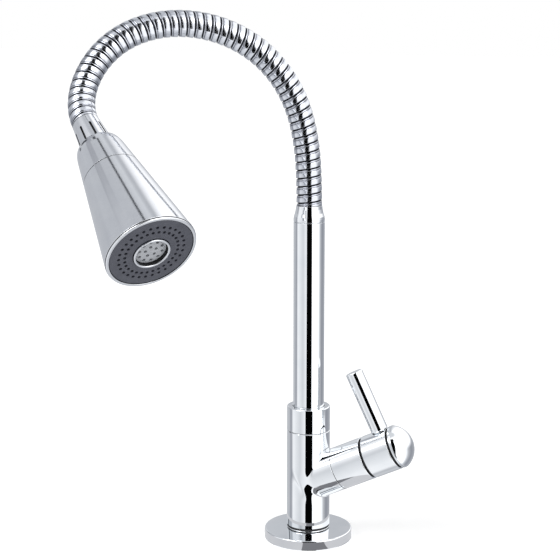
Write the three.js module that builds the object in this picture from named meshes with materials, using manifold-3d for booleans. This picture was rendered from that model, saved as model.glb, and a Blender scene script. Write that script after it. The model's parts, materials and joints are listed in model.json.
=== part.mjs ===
import * as THREE from 'three';
import { mergeVertices } from 'three/addons/utils/BufferGeometryUtils.js';
import Module from 'manifold-3d';

// Single-lever deck tap with a flexible stripwound spout and a two-jet spray head.
// Millimetres, +Z up. The origin is the centre of the deck hole, on the deck's upper face.
// +X is the side that the valve barrel leans out to, and -Y is the front.

// Gaps between neighbouring pieces, and how far a cut runs past a face
const fitGap = 0.3;
const cutOverrun = 2;

// Smoothness of the round pieces
const wideSides = 28;
const bodySides = 24;
const riserSides = 20;
const innerSides = 14;
const hoseSides = 12;
const linerSides = 8;
const ringSectionSides = 6;
const roundingSteps = 2;
const domeSteps = 5;

// Flange on the deck, with its seal in a groove underneath
const flangeDiameter = 57;
const flangeHeight = 6.2;
const flangeEdgeRadius = 1;
const sealOuterDiameter = 47;
const sealWidth = 8;
const sealThickness = 2;
const footRingThickness = 0.4;
const footRingInset = 0.4;

// Threaded shank through the deck, and what clamps it from below
const deckThickness = 30;
const shankDiameter = 20.8;
const shankBore = 12.5;
const shankDepthInBody = 13;
const gasketDiameter = 44;
const gasketThickness = 3;
const washerDiameter = 42;
const washerThickness = 1.8;
const nutAcrossFlats = 30;
const nutHeight = 8;
const shankTail = 9;

// Column of the tap body
const bodyDiameter = 28;
const bodyTopHeight = 73;
const bodyEdge = 0.4;
const spoutSocketBore = 17.2;
const spoutSocketDepth = 14.8;
const collarSocketBore = 25.2;
const collarSocketDepth = 7;
const ductDiameter = 5.2;

// Valve barrel that leans out of the column
const barrelDrop = 34.5;
const barrelRiseDegrees = 25.5;
const branchReach = 23.6;
const cartridgeSocketBore = 24;
const cartridgeSocketFloor = 8;
const housingLength = 21.2;
const housingSkirt = 7;
const housingShoulder = 4.7;
const housingBore = 21.6;
const housingMouthBore = 14;

// Quarter-turn ceramic cartridge
const portSealThickness = 1.9;
const portSpacing = 9;
const portDiameter = 5.4;
const cartridgeNeckReach = 2.6;
const discDiameter = 16.6;
const discThickness = 3;
const driverThickness = 3.9;
const spindleDiameter = 8;
const channelDepth = 1.8;

// Lever hub, its cap and the rings that close the gaps
const barrelRingThickness = 1;
const barrelRingInset = 1.1;
const hubLength = 17.9;
const hubWebThickness = 5;
const hubRecessBore = 12;
const hubScrewDiameter = 3;
const hubScrewLength = 5;
const hubScrewHeadDiameter = 8;
const hubScrewHeadHeight = 3;
const hubScrewSocket = 4;
const capRingThickness = 1;
const capRingInset = 0.8;
const capLength = 10;
const capBandLength = 1.5;
const capBandStep = 0.3;
const capSpigotLength = 6.6;
const capSpigotWall = 1.4;

// Lever rod
const leverSetback = 4.8;
const leverDiameter = 11.2;
const leverReach = 55;
const leverEdge = 0.9;
const leverFootTaper = 1.2;
const leverStudDiameter = 8;
const leverStudDepth = 6;

// Swivel joint of the spout: collar nut, riser hub, slip ring and o-rings
const collarHeight = 16.2;
const collarEdge = 1;
const collarSkirtWall = 1;
const collarShoulderRise = 5;
const slipRingThickness = 2;
const hubRingDiameter = 22;
const riserSpigotDiameter = 16.6;
const riserWaterBore = 11;
const riserSpigotIntoTube = 7.5;
const ringSection = 1.6;
const ringGrooveDepthGap = 0.2;
const ringGrooveWidthGap = 0.6;
const ringSpacing = 3.2;

// Riser tube, and the ferrule between it and the hose
const riserDiameter = 20;
const riserWall = 1.2;
const riserLength = 134.1;
const ferruleHeight = 10.1;
const ferruleLip = 1.6;
const ferruleSpigotLength = 10.8;
const hoseSocketDepth = 6.4;
const hoseTailBore = 4;
const hoseTailLip = 2;
const hoseTailGrip = 2;

// Flexible hose: links of a few turns each, joined by ball laps, with a water liner inside
const hoseDiameter = 16.4;
const hoseLength = 264;
const linkCount = 10;
const turnsPerLink = 5;
const turnStep = 0.5;
const turnSeam = 0.25;
const hoseBore = 10.8;
const lapBallDiameter = 14;
const lapWrap = 1.6;
const lapReach = 2.2;
const lapCupDepth = 3.7;
const lapGroove = 1.5;
const lapFlare = 0.5;
const linerDiameter = 10.2;
const linerBore = 7;
const linerEndGap = 0.9;
const spoutAzimuthDegrees = 225.8;
const inPlaneBendDegrees = [3.32, 9.88, 17.02, 19.49, 18.54, 18.16, 20.8, 25.38, 24.71, 25.56];
const sidewaysBendDegrees = [-1.36, -2.87, -4.52, -4.81, -3.83, -2.33, -0.39, 3.71, 11.9, 28.7];

// Slotted collar at the end of the hose
const headCollarVisible = 19.9;
const headCollarTuck = 3.4;
const headCollarWide = 19.8;
const slotCount = 9;
const slotWidth = 1.3;
const slotDepth = 1.2;
const slotStart = 7;
const slotLength = 11.8;
const slotOffsetShare = 0.71;
const swivelSpigotDiameter = 14.8;
const swivelSpigotLength = 12;
const swivelRingSection = 0.9;
const clipThickness = 1.4;
const clipWidth = 2;
const clipGrooveDepth = 0.9;

// Spray head, measured along its axis from the end of the hose
const faceDiameter = 49;
const neckTopDiameter = 21.4;
const neckShoulderDiameter = 29.2;
const neckShoulderLength = 7;
const neckLength = 25.7;
const neckWebThickness = 6;
const shellLength = 60;
const shellEndDiameter = 53.6;
const shellWall = 1.8;
const shellMouthWall = 0.8;
const shellLap = 5;
const waterwayBore = 19.2;
const waterwayWall = 1.4;
const waterwaySeatThickness = 2.3;

// Selector end of the head: bezel, spray face, diverter and aerator
const bezelDiameter = 53;
const bezelBand = 0.5;
const bezelLip = 0.4;
const bezelEdgeRadius = 0.6;
const bezelSpigotLength = 7.4;
const bezelSpigotWall = 1.6;
const sprayFaceThickness = 2.8;
const sprayFaceCrown = 0.5;
const diverterThickness = 3;
const diverterBore = 16;
const diverterPortCount = 6;
const diverterPortDiameter = 4;
const outerHoleCount = 30;
const outerHoleCircleDiameter = 38.2;
const outerHoleOffsetShare = 0.08;
const innerHoleCount = 29;
const innerHoleCircleDiameter = 31.3;
const innerHoleOffsetShare = 0.39;
const sprayHoleDiameter = 1.6;
const sprayHoleSides = 5;
const aeratorDiameter = 21.5;
const aeratorBore = 18.9;
const aeratorProud = 1.5;
const aeratorLedge = 1.1;
const aeratorFlangeDiameter = 26;
const aeratorFlangeThickness = 1.2;
const insertRecess = 1.5;
const insertThickness = 2.2;
const insertHoleDiameter = 1.3;
const insertOuterHoleCount = 10;
const insertOuterCircleDiameter = 14;
const insertInnerHoleCount = 5;
const insertInnerCircleDiameter = 6.6;

// Sizes that follow from the ones above
const sealInnerDiameter = sealOuterDiameter - 2 * sealWidth;
const bodyRadius = bodyDiameter / 2;
const barrelHeight = bodyTopHeight - barrelDrop;
const bodyFootHeight = flangeHeight + fitGap + footRingThickness + fitGap;
const shankTopHeight = bodyFootHeight + shankDepthInBody;
const barrelRise = THREE.MathUtils.degToRad(barrelRiseDegrees);
const spoutAzimuth = THREE.MathUtils.degToRad(spoutAzimuthDegrees);
const collarSocketFloorHeight = bodyTopHeight - collarSocketDepth;
const spoutSocketFloorHeight = bodyTopHeight - spoutSocketDepth;
const collarTopHeight = bodyTopHeight + collarHeight;
const collarShoulderHeight = bodyTopHeight + collarShoulderRise;
const riserHubTopHeight = collarShoulderHeight - slipRingThickness - 2 * fitGap;
const riserTopHeight = riserHubTopHeight + fitGap + riserLength;
const ferruleTopHeight = riserTopHeight + fitGap + ferruleHeight;
const housingStart = branchReach + fitGap;
const housingEnd = housingStart + housingLength;
const hubStart = housingEnd + fitGap + barrelRingThickness + fitGap;
const hubEnd = hubStart + hubLength;
const capStart = hubEnd + fitGap + capRingThickness + fitGap;
const capEnd = capStart + capLength;
const leverDistance = hubEnd - leverSetback;
const riserRadius = riserDiameter / 2;
const riserBore = riserDiameter - 2 * riserWall;
const linkLength = hoseLength / linkCount;
const turnPitch = linkLength / turnsPerLink;
const hoseStartHeight = ferruleTopHeight + fitGap;
const hoseSpigotDiameter = lapBallDiameter;
const hoseSocketBore = hoseSpigotDiameter + 2 * fitGap;
const headCollarLength = headCollarVisible + headCollarTuck;
const neckSeamDistance = headCollarVisible + neckLength;
const shellStartDistance = neckSeamDistance + fitGap;
const shellEndDistance = shellStartDistance + shellLength;
const faceDistance = shellEndDistance + fitGap + bezelBand;

const wasm = await Module();
wasm.setup();

// Merges shared corners, drops empty triangles and turns the faces outwards
function closedGeometry(geometry) {
  geometry.deleteAttribute('normal');
  geometry.deleteAttribute('uv');
  const merged = mergeVertices(geometry);
  const corners = merged.index.array;
  const kept = [];
  for (let i = 0; i < corners.length; i += 3) {
    const [a, b, c] = [corners[i], corners[i + 1], corners[i + 2]];
    if (a !== b && b !== c && c !== a) kept.push(a, b, c);
  }
  const place = merged.attributes.position;
  const corner = [new THREE.Vector3(), new THREE.Vector3(), new THREE.Vector3()];
  let volume = 0;
  for (let i = 0; i < kept.length; i += 3) {
    corner.forEach((point, k) => point.fromBufferAttribute(place, kept[i + k]));
    volume += corner[0].dot(corner[1].cross(corner[2]));
  }
  if (volume < 0) kept.reverse();
  merged.setIndex(kept);
  return merged;
}

// Revolves an outline of [radius, height] points round +Z
function revolve(outline, sides) {
  const points = outline.map(([radius, height]) => new THREE.Vector2(radius, height));
  if (outline[0][0] > 0) points.push(points[0].clone());
  const geometry = new THREE.LatheGeometry(points, sides);
  geometry.rotateX(Math.PI / 2);
  return closedGeometry(geometry);
}

// A plain ring or, with no inner radius, a plain round bar between two heights
function ring(innerRadius, outerRadius, low, high, sides) {
  const outline = [[innerRadius, low], [outerRadius, low], [outerRadius, high], [innerRadius, high]];
  return revolve(outline, sides);
}

// Points of a quarter-round edge, from one angle to the other in quarter turns
function roundedEdge(centreRadius, centreHeight, edgeRadius, fromQuarter, toQuarter) {
  const points = [];
  for (let i = 0; i <= roundingSteps; i += 1) {
    const angle = (fromQuarter + (toQuarter - fromQuarter) * i / roundingSteps) * Math.PI / 2;
    points.push([centreRadius + edgeRadius * Math.cos(angle), centreHeight + edgeRadius * Math.sin(angle)]);
  }
  return points;
}

function toSolid(geometry) {
  const closed = closedGeometry(geometry.clone());
  return new wasm.Manifold(new wasm.Mesh({
    numProp: 3,
    vertProperties: new Float32Array(closed.attributes.position.array),
    triVerts: new Uint32Array(closed.index.array),
  }));
}

function toGeometry(solid) {
  const mesh = solid.getMesh();
  const geometry = new THREE.BufferGeometry();
  geometry.setAttribute('position', new THREE.BufferAttribute(mesh.vertProperties, 3));
  geometry.setIndex(new THREE.BufferAttribute(mesh.triVerts, 1));
  return geometry;
}

// Joins and cuts whole geometries
function join(...geometries) {
  return toGeometry(geometries.map(toSolid).reduce((whole, next) => whole.add(next)));
}

function cut(geometry, ...tools) {
  return toGeometry(tools.map(toSolid).reduce((whole, next) => whole.subtract(next), toSolid(geometry)));
}

// A round bar between two points, used for drilled ducts
function barBetween(start, end, diameter) {
  const along = end.clone().sub(start);
  const bar = ring(0, diameter / 2, 0, along.length(), innerSides);
  bar.applyQuaternion(new THREE.Quaternion().setFromUnitVectors(new THREE.Vector3(0, 0, 1), along.normalize()));
  return bar.translate(start.x, start.y, start.z);
}

// Copies of a hole's bar set evenly round a circle
function holesOnCircle(count, circleDiameter, holeDiameter, low, high, sides, offsetShare) {
  const holes = [];
  for (let i = 0; i < count; i += 1) {
    const angle = 2 * Math.PI * (i + offsetShare) / count;
    const hole = ring(0, holeDiameter / 2, low, high, sides);
    holes.push(hole.translate(circleDiameter / 2 * Math.cos(angle), circleDiameter / 2 * Math.sin(angle), 0));
  }
  return holes;
}

const chromedBrass = new THREE.MeshStandardMaterial({ color: 0xd9dbde, roughness: 0.06, metalness: 1 });
const chromedSteelStrip = new THREE.MeshStandardMaterial({ color: 0xc4c7cc, roughness: 0.25, metalness: 1 });
const satinChromedPlastic = new THREE.MeshStandardMaterial({ color: 0xc9cbd0, roughness: 0.3, metalness: 0.9 });
const darkPlastic = new THREE.MeshStandardMaterial({ color: 0x4a4b55, roughness: 0.5, metalness: 0 });
const lightPlastic = new THREE.MeshStandardMaterial({ color: 0xb4b6bc, roughness: 0.5, metalness: 0 });
const whitePlastic = new THREE.MeshStandardMaterial({ color: 0xe6e4dc, roughness: 0.5, metalness: 0 });
const blackRubber = new THREE.MeshStandardMaterial({ color: 0x1b1b1d, roughness: 0.8, metalness: 0 });
const rawBrass = new THREE.MeshStandardMaterial({ color: 0xb89a56, roughness: 0.35, metalness: 1 });
const plainSteel = new THREE.MeshStandardMaterial({ color: 0xa9abae, roughness: 0.4, metalness: 1 });
const whiteCeramic = new THREE.MeshStandardMaterial({ color: 0xf2efe6, roughness: 0.2, metalness: 0 });
const clearLiner = new THREE.MeshStandardMaterial({ color: 0xd8d6cb, roughness: 0.6, metalness: 0 });

// Adds one named piece to a group
function addPiece(group, name, geometry, material) {
  const mesh = new THREE.Mesh(geometry, material);
  mesh.name = name;
  mesh.geometry.computeVertexNormals();
  group.add(mesh);
  return mesh;
}

const faucet = new THREE.Group();

// The flange rests on the deck, and the foot ring seats the body on it
function addFlange(group) {
  const radius = flangeDiameter / 2;
  const bore = shankDiameter / 2 + fitGap;
  const grooveInner = sealInnerDiameter / 2 - fitGap;
  const grooveOuter = sealOuterDiameter / 2 + fitGap;
  const grooveDepth = sealThickness + fitGap;
  addPiece(group, 'deck_flange', revolve([
    [bore, 0],
    [grooveInner, 0],
    [grooveInner, grooveDepth],
    [grooveOuter, grooveDepth],
    [grooveOuter, 0],
    [radius, 0],
    ...roundedEdge(radius - flangeEdgeRadius, flangeHeight - flangeEdgeRadius, flangeEdgeRadius, 0, 1),
    [bore, flangeHeight],
  ], wideSides), chromedBrass);
  const seal = ring(sealInnerDiameter / 2, sealOuterDiameter / 2, 0, sealThickness, wideSides);
  addPiece(group, 'flange_seal', seal, blackRubber);
  const ringLow = flangeHeight + fitGap;
  const footRing = ring(bore, bodyRadius - footRingInset, ringLow, ringLow + footRingThickness, bodySides);
  addPiece(group, 'body_foot_ring', footRing, blackRubber);
}

// The shank carries the tap through the deck, and a nut pulls the gasket up from below
function addClamp(group) {
  const gasketTop = -deckThickness;
  const washerTop = gasketTop - gasketThickness - fitGap;
  const nutTop = washerTop - washerThickness - fitGap;
  const nutBottom = nutTop - nutHeight;
  const boreRadius = shankDiameter / 2 + fitGap;
  const shank = ring(shankBore / 2, shankDiameter / 2, nutBottom - shankTail, shankTopHeight - fitGap, bodySides);
  addPiece(group, 'threaded_shank', shank, rawBrass);
  const gasket = ring(boreRadius, gasketDiameter / 2, washerTop + fitGap, gasketTop, bodySides);
  addPiece(group, 'under_deck_gasket', gasket, blackRubber);
  const washer = ring(boreRadius, washerDiameter / 2, nutTop + fitGap, washerTop, bodySides);
  addPiece(group, 'under_deck_washer', washer, plainSteel);
  const hexagonRadius = nutAcrossFlats / 2 / Math.cos(Math.PI / 6);
  const hexagon = ring(0, hexagonRadius, nutBottom, nutTop, 6);
  const hole = ring(0, boreRadius, nutBottom - cutOverrun, nutTop + cutOverrun, bodySides);
  addPiece(group, 'shank_nut', cut(hexagon, hole), rawBrass);
}

// Point on the valve barrel's axis, moved sideways towards the barrel's underside
function barrelPoint(distance, belowAxis) {
  const along = new THREE.Vector3(Math.cos(barrelRise), 0, Math.sin(barrelRise));
  const below = new THREE.Vector3(Math.sin(barrelRise), 0, -Math.cos(barrelRise));
  return new THREE.Vector3(0, 0, barrelHeight).addScaledVector(along, distance).addScaledVector(below, belowAxis);
}

function barrelAligned(geometry) {
  geometry.rotateY(Math.PI / 2 - barrelRise);
  return geometry.translate(0, 0, barrelHeight);
}

// Column and branch in one casting, with its sockets and the two ducts between them
function addTapBody(group) {
  const column = revolve([
    [0, bodyFootHeight],
    [bodyRadius - bodyEdge, bodyFootHeight],
    [bodyRadius, bodyFootHeight + bodyEdge],
    [bodyRadius, bodyTopHeight - bodyEdge],
    [bodyRadius - bodyEdge, bodyTopHeight],
    [0, bodyTopHeight],
  ], bodySides);
  const branch = barrelAligned(ring(0, bodyRadius, 0, branchReach, bodySides));
  const shankSocket = ring(0, shankDiameter / 2 + fitGap, bodyFootHeight - cutOverrun, shankTopHeight, bodySides);
  const overTop = bodyTopHeight + cutOverrun;
  const spoutSocket = ring(0, spoutSocketBore / 2, spoutSocketFloorHeight, overTop, innerSides);
  const collarSocket = ring(0, collarSocketBore / 2, collarSocketFloorHeight, overTop, bodySides);
  const overBranch = branchReach + cutOverrun;
  const cartridgeSocket = barrelAligned(
    ring(0, cartridgeSocketBore / 2, cartridgeSocketFloor, overBranch, bodySides));
  const inletPort = barrelPoint(cartridgeSocketFloor + cutOverrun, portSpacing / 2);
  const outletPort = barrelPoint(cartridgeSocketFloor + cutOverrun, -portSpacing / 2);
  const inletEnd = new THREE.Vector3(shankBore / 4, 0, shankTopHeight - cutOverrun);
  const outletEnd = new THREE.Vector3(0, 0, spoutSocketFloorHeight + cutOverrun);
  const inletDuct = barBetween(inletEnd, inletPort, ductDiameter);
  const outletDuct = barBetween(outletPort, outletEnd, ductDiameter);
  const casting = join(column, branch);
  const bores = [shankSocket, spoutSocket, collarSocket, cartridgeSocket, inletDuct, outletDuct];
  addPiece(group, 'tap_body', cut(casting, ...bores), chromedBrass);
}

// The cartridge housing screws into the branch and holds the cartridge down on its port seal
function addCartridge(group) {
  const skirtRadius = cartridgeSocketBore / 2 - fitGap;
  addPiece(group, 'cartridge_housing', revolve([
    [housingBore / 2, housingStart - housingSkirt],
    [skirtRadius, housingStart - housingSkirt],
    [skirtRadius, housingStart],
    [bodyRadius, housingStart],
    [bodyRadius, housingEnd],
    [housingMouthBore / 2, housingEnd],
    [housingMouthBore / 2, housingEnd - housingShoulder],
    [housingBore / 2, housingEnd - housingShoulder],
  ], bodySides), chromedBrass);
  const sealLow = cartridgeSocketFloor + fitGap;
  const sealHigh = sealLow + portSealThickness;
  const holeLow = sealLow - cutOverrun;
  const sealRadius = housingBore / 2 - fitGap;
  const portSeal = cut(
    ring(0, sealRadius, sealLow, sealHigh, innerSides),
    ...holesOnCircle(2, portSpacing, portDiameter, holeLow, sealHigh + cutOverrun, innerSides, 0));
  addPiece(group, 'cartridge_port_seal', portSeal, blackRubber);
  const discLow = sealHigh + fitGap;
  const discHigh = discLow + discThickness;
  const fixedDisc = cut(
    ring(0, discDiameter / 2, discLow, discHigh, innerSides),
    ...holesOnCircle(2, portSpacing, portDiameter, discLow - cutOverrun, discHigh + cutOverrun, innerSides, 0));
  addPiece(group, 'fixed_ceramic_disc', fixedDisc, whiteCeramic);
  const neckRadius = housingMouthBore / 2 - fitGap;
  const shoulder = housingEnd - housingShoulder - fitGap;
  const chamberTop = discHigh + fitGap + discThickness + fitGap + driverThickness + fitGap;
  addPiece(group, 'cartridge_body', revolve([
    [discDiameter / 2 + fitGap, discLow],
    [sealRadius, discLow],
    [sealRadius, shoulder],
    [neckRadius, shoulder],
    [neckRadius, housingEnd + cartridgeNeckReach],
    [spindleDiameter / 2 + fitGap, housingEnd + cartridgeNeckReach],
    [spindleDiameter / 2 + fitGap, chamberTop],
    [discDiameter / 2 + fitGap, chamberTop],
  ], innerSides), whitePlastic);
  const ringLow = housingEnd + fitGap;
  const gapRing = ring(
    neckRadius + fitGap, bodyRadius - barrelRingInset, ringLow, ringLow + barrelRingThickness, riserSides);
  addPiece(group, 'barrel_gap_ring', gapRing, blackRubber);
  return discHigh + fitGap;
}

// Everything that turns with the lever: disc, spindle, hub, rod, cap and their fasteners
function addLever(group, movingDiscLow) {
  const discHigh = movingDiscLow + discThickness;
  const channel = join(
    ...holesOnCircle(2, portSpacing, portDiameter, movingDiscLow - cutOverrun,
      movingDiscLow + channelDepth, innerSides, 1 / 2),
    new THREE.BoxGeometry(portDiameter, portSpacing, cutOverrun + channelDepth)
      .translate(0, 0, movingDiscLow + (channelDepth - cutOverrun) / 2));
  const movingDisc = cut(ring(0, discDiameter / 2, movingDiscLow, discHigh, innerSides), channel);
  addPiece(group, 'moving_ceramic_disc', movingDisc, whiteCeramic);

  const webLow = housingEnd + cartridgeNeckReach + fitGap;
  const webHigh = webLow + hubWebThickness;
  const driverLow = discHigh + fitGap;
  const spindleEnd = webHigh - fitGap;
  const screwHoleLow = spindleEnd - hubScrewLength - fitGap;
  addPiece(group, 'valve_spindle', revolve([
    [0, driverLow],
    [discDiameter / 2, driverLow],
    [discDiameter / 2, driverLow + driverThickness],
    [spindleDiameter / 2, driverLow + driverThickness],
    [spindleDiameter / 2, spindleEnd],
    [hubScrewDiameter / 2 + fitGap, spindleEnd],
    [hubScrewDiameter / 2 + fitGap, screwHoleLow],
    [0, screwHoleLow],
  ], innerSides), rawBrass);

  const neckBore = housingMouthBore / 2;
  const hubBlank = revolve([
    [neckBore, hubStart],
    [bodyRadius, hubStart],
    [bodyRadius, hubEnd],
    [hubRecessBore / 2, hubEnd],
    [hubRecessBore / 2, webHigh],
    [spindleDiameter / 2 + fitGap, webHigh],
    [spindleDiameter / 2 + fitGap, webLow],
    [neckBore, webLow],
  ], bodySides);
  const studHole = ring(
    0, leverStudDiameter / 2 + fitGap, bodyRadius - leverStudDepth - fitGap, bodyRadius + cutOverrun, innerSides);
  studHole.rotateY(-Math.PI / 2).translate(0, 0, leverDistance);
  addPiece(group, 'lever_hub', cut(hubBlank, studHole), chromedBrass);

  const headLow = webHigh + fitGap;
  const headHigh = headLow + hubScrewHeadHeight;
  const screwBlank = revolve([
    [0, headLow - hubScrewLength],
    [hubScrewDiameter / 2, headLow - hubScrewLength],
    [hubScrewDiameter / 2, headLow],
    [hubScrewHeadDiameter / 2, headLow],
    [hubScrewHeadDiameter / 2, headHigh],
    [0, headHigh],
  ], innerSides);
  const keySocket = ring(0, hubScrewSocket / 2, headLow + hubScrewHeadHeight / 2, headHigh + cutOverrun, 6);
  addPiece(group, 'hub_screw', cut(screwBlank, keySocket), plainSteel);

  const ringLow = hubEnd + fitGap;
  const capRing = ring(
    hubRecessBore / 2 + fitGap, bodyRadius - capRingInset, ringLow, ringLow + capRingThickness, riserSides);
  addPiece(group, 'hub_cap_ring', capRing, blackRubber);

  const spigotRadius = hubRecessBore / 2 - fitGap;
  const domeRadius = bodyRadius - capBandStep;
  const domeStart = capStart + capBandLength;
  const dome = [];
  for (let i = 0; i <= domeSteps; i += 1) {
    const angle = Math.PI / 2 * i / domeSteps;
    const radius = i < domeSteps ? domeRadius * Math.cos(angle) : 0;
    dome.push([radius, domeStart + (capEnd - domeStart) * Math.sin(angle)]);
  }
  addPiece(group, 'hub_cap', revolve([
    [0, capStart],
    [spigotRadius - capSpigotWall, capStart],
    [spigotRadius - capSpigotWall, capStart - capSpigotLength],
    [spigotRadius, capStart - capSpigotLength],
    [spigotRadius, capStart],
    [bodyRadius, capStart],
    [bodyRadius, domeStart],
    ...dome,
  ], bodySides), chromedBrass);

  const rodBlank = revolve([
    [0, bodyRadius - leverStudDepth],
    [leverStudDiameter / 2, bodyRadius - leverStudDepth],
    [leverStudDiameter / 2, bodyRadius - 2 * leverEdge],
    [leverDiameter / 2 - leverFootTaper, bodyRadius - 2 * leverEdge],
    [leverDiameter / 2 - leverFootTaper, bodyRadius + leverFootTaper],
    [leverDiameter / 2, bodyRadius + 3 * leverFootTaper],
    ...roundedEdge(leverDiameter / 2 - leverEdge, leverReach - leverEdge, leverEdge, 0, 1),
    [0, leverReach],
  ], innerSides);
  rodBlank.rotateY(-Math.PI / 2).translate(0, 0, leverDistance);
  const hubClearance = cut(
    ring(0, bodyRadius + fitGap, hubStart, capEnd, bodySides),
    ring(0, leverStudDiameter / 2, 0, bodyRadius + cutOverrun, innerSides)
      .rotateY(-Math.PI / 2).translate(0, 0, leverDistance));
  addPiece(group, 'lever_rod', cut(rodBlank, hubClearance), chromedBrass);
}

// An o-ring that lies in a groove whose floor is one groove depth below the carrier's surface
function oRing(carrierRadius, height, section, sides) {
  const centreRadius = carrierRadius - ringGrooveDepthGap - section / 2 + fitGap / 2;
  const outline = [];
  for (let i = 0; i < ringSectionSides; i += 1) {
    const angle = 2 * Math.PI * i / ringSectionSides;
    outline.push([
      centreRadius + section / 2 * Math.cos(angle),
      height + section / 2 * Math.sin(angle),
    ]);
  }
  return revolve(outline, sides);
}

// Outline points of an o-ring groove, walked downwards along a carrier
function grooveOutline(carrierRadius, height, section) {
  const floor = carrierRadius - section - ringGrooveDepthGap;
  const halfWidth = (section + ringGrooveWidthGap) / 2;
  return [
    [carrierRadius, height + halfWidth],
    [floor, height + halfWidth],
    [floor, height - halfWidth],
    [carrierRadius, height - halfWidth],
  ];
}

// The collar nut keeps the riser's hub down in the body while the spout turns
function addSwivelCollar(group) {
  const skirtRadius = collarSocketBore / 2 - fitGap;
  addPiece(group, 'swivel_collar', revolve([
    [riserRadius + fitGap, collarTopHeight],
    [bodyRadius - collarEdge, collarTopHeight],
    [bodyRadius, collarTopHeight - collarEdge],
    [bodyRadius, bodyTopHeight + fitGap],
    [skirtRadius, bodyTopHeight + fitGap],
    [skirtRadius, collarSocketFloorHeight + fitGap],
    [skirtRadius - collarSkirtWall, collarSocketFloorHeight + fitGap],
    [skirtRadius - collarSkirtWall, collarShoulderHeight],
    [riserRadius + fitGap, collarShoulderHeight],
  ], bodySides), chromedBrass);
  const slipRing = ring(
    riserRadius + fitGap, hubRingDiameter / 2, collarShoulderHeight - fitGap - slipRingThickness,
    collarShoulderHeight - fitGap, innerSides);
  addPiece(group, 'swivel_slip_ring', slipRing, whitePlastic);
}

// Riser tube on its brass hub, with the hose ferrule and the lower hose tail at its top
function addRiser(group) {
  const hubBottom = collarSocketFloorHeight + fitGap;
  const spigotBottom = spoutSocketFloorHeight + fitGap;
  const spigotRadius = riserSpigotDiameter / 2;
  const ringHeights = [hubBottom - ringSpacing / 2, hubBottom - ringSpacing * 3 / 2];
  addPiece(group, 'riser_hub', revolve([
    [riserWaterBore / 2, riserHubTopHeight + riserSpigotIntoTube],
    [riserBore / 2 - fitGap, riserHubTopHeight + riserSpigotIntoTube],
    [riserBore / 2 - fitGap, riserHubTopHeight],
    [hubRingDiameter / 2, riserHubTopHeight],
    [hubRingDiameter / 2, hubBottom],
    [spigotRadius, hubBottom],
    ...ringHeights.flatMap((height) => grooveOutline(spigotRadius, height, ringSection)),
    [spigotRadius, spigotBottom],
    [riserWaterBore / 2, spigotBottom],
  ], innerSides), rawBrass);
  ringHeights.forEach((height, i) => {
    addPiece(group, `riser_o_ring_${i + 1}`, oRing(spigotRadius, height, ringSection, innerSides), blackRubber);
  });
  const tube = ring(riserBore / 2, riserRadius, riserHubTopHeight + fitGap, riserTopHeight, riserSides);
  addPiece(group, 'riser_tube', tube, chromedBrass);

  const ferruleBottom = riserTopHeight + fitGap;
  const hoseRadius = hoseDiameter / 2;
  const bellHeight = ferruleTopHeight - ferruleBottom - ferruleLip;
  const bellShares = [[0.86, 0.2], [0.5, 0.45], [0.2, 0.75], [0.06, 1]];
  const bell = bellShares.map(([widthShare, heightShare]) => [
    hoseRadius + (riserRadius - hoseRadius) * widthShare,
    ferruleBottom + ferruleLip + bellHeight * heightShare,
  ]);
  const waterBore = linerDiameter / 2 + 2 * fitGap;
  const socketFloor = ferruleTopHeight + fitGap - hoseSocketDepth;
  addPiece(group, 'hose_ferrule', revolve([
    [waterBore, ferruleBottom - ferruleSpigotLength],
    [riserBore / 2 - fitGap, ferruleBottom - ferruleSpigotLength],
    [riserBore / 2 - fitGap, ferruleBottom],
    [riserRadius, ferruleBottom],
    [riserRadius, ferruleBottom + ferruleLip],
    ...bell,
    [hoseSocketBore / 2, ferruleTopHeight],
    [hoseSocketBore / 2, socketFloor],
    [waterBore, socketFloor],
  ], riserSides), chromedBrass);
  const tailTop = socketFloor - fitGap;
  addPiece(group, 'lower_hose_tail', hoseTail(ferruleBottom - ferruleSpigotLength - hoseTailLip, tailTop,
    hoseStartHeight + hoseTailGrip), rawBrass);
}

// A hose tail: a plain shank that the fitting holds, and a thinner spigot that grips the liner
function hoseTail(shankEnd, step, spigotEnd) {
  return revolve([
    [hoseTailBore / 2, shankEnd],
    [linerDiameter / 2 + fitGap, shankEnd],
    [linerDiameter / 2 + fitGap, step],
    [linerBore / 2 - 2 * fitGap, step],
    [linerBore / 2 - 2 * fitGap, spigotEnd],
    [hoseTailBore / 2, spigotEnd],
  ], innerSides);
}

// Bend of one hose link, and where it heads in the link's own X and Y
function linkBend(index) {
  const inPlane = THREE.MathUtils.degToRad(inPlaneBendDegrees[index]);
  const sideways = THREE.MathUtils.degToRad(sidewaysBendDegrees[index]);
  return { angle: Math.hypot(inPlane, sideways), heading: Math.atan2(sideways, inPlane) };
}

// Frame at a distance along a link's centreline, straight before its start and past its end
function linkFrame(index, distance) {
  const { angle, heading } = linkBend(index);
  const onArc = THREE.MathUtils.clamp(distance, 0, linkLength);
  const turned = angle * onArc / linkLength;
  const bendRadius = linkLength / angle;
  const towards = new THREE.Vector3(Math.cos(heading), Math.sin(heading), 0);
  const axis = new THREE.Vector3(-Math.sin(heading), Math.cos(heading), 0);
  const turn = new THREE.Quaternion().setFromAxisAngle(axis, turned);
  const place = towards.multiplyScalar(bendRadius * (1 - Math.cos(turned)));
  place.z += bendRadius * Math.sin(turned);
  place.addScaledVector(new THREE.Vector3(0, 0, 1).applyQuaternion(turn), distance - onArc);
  return new THREE.Matrix4().compose(place, turn, new THREE.Vector3(1, 1, 1));
}

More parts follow.
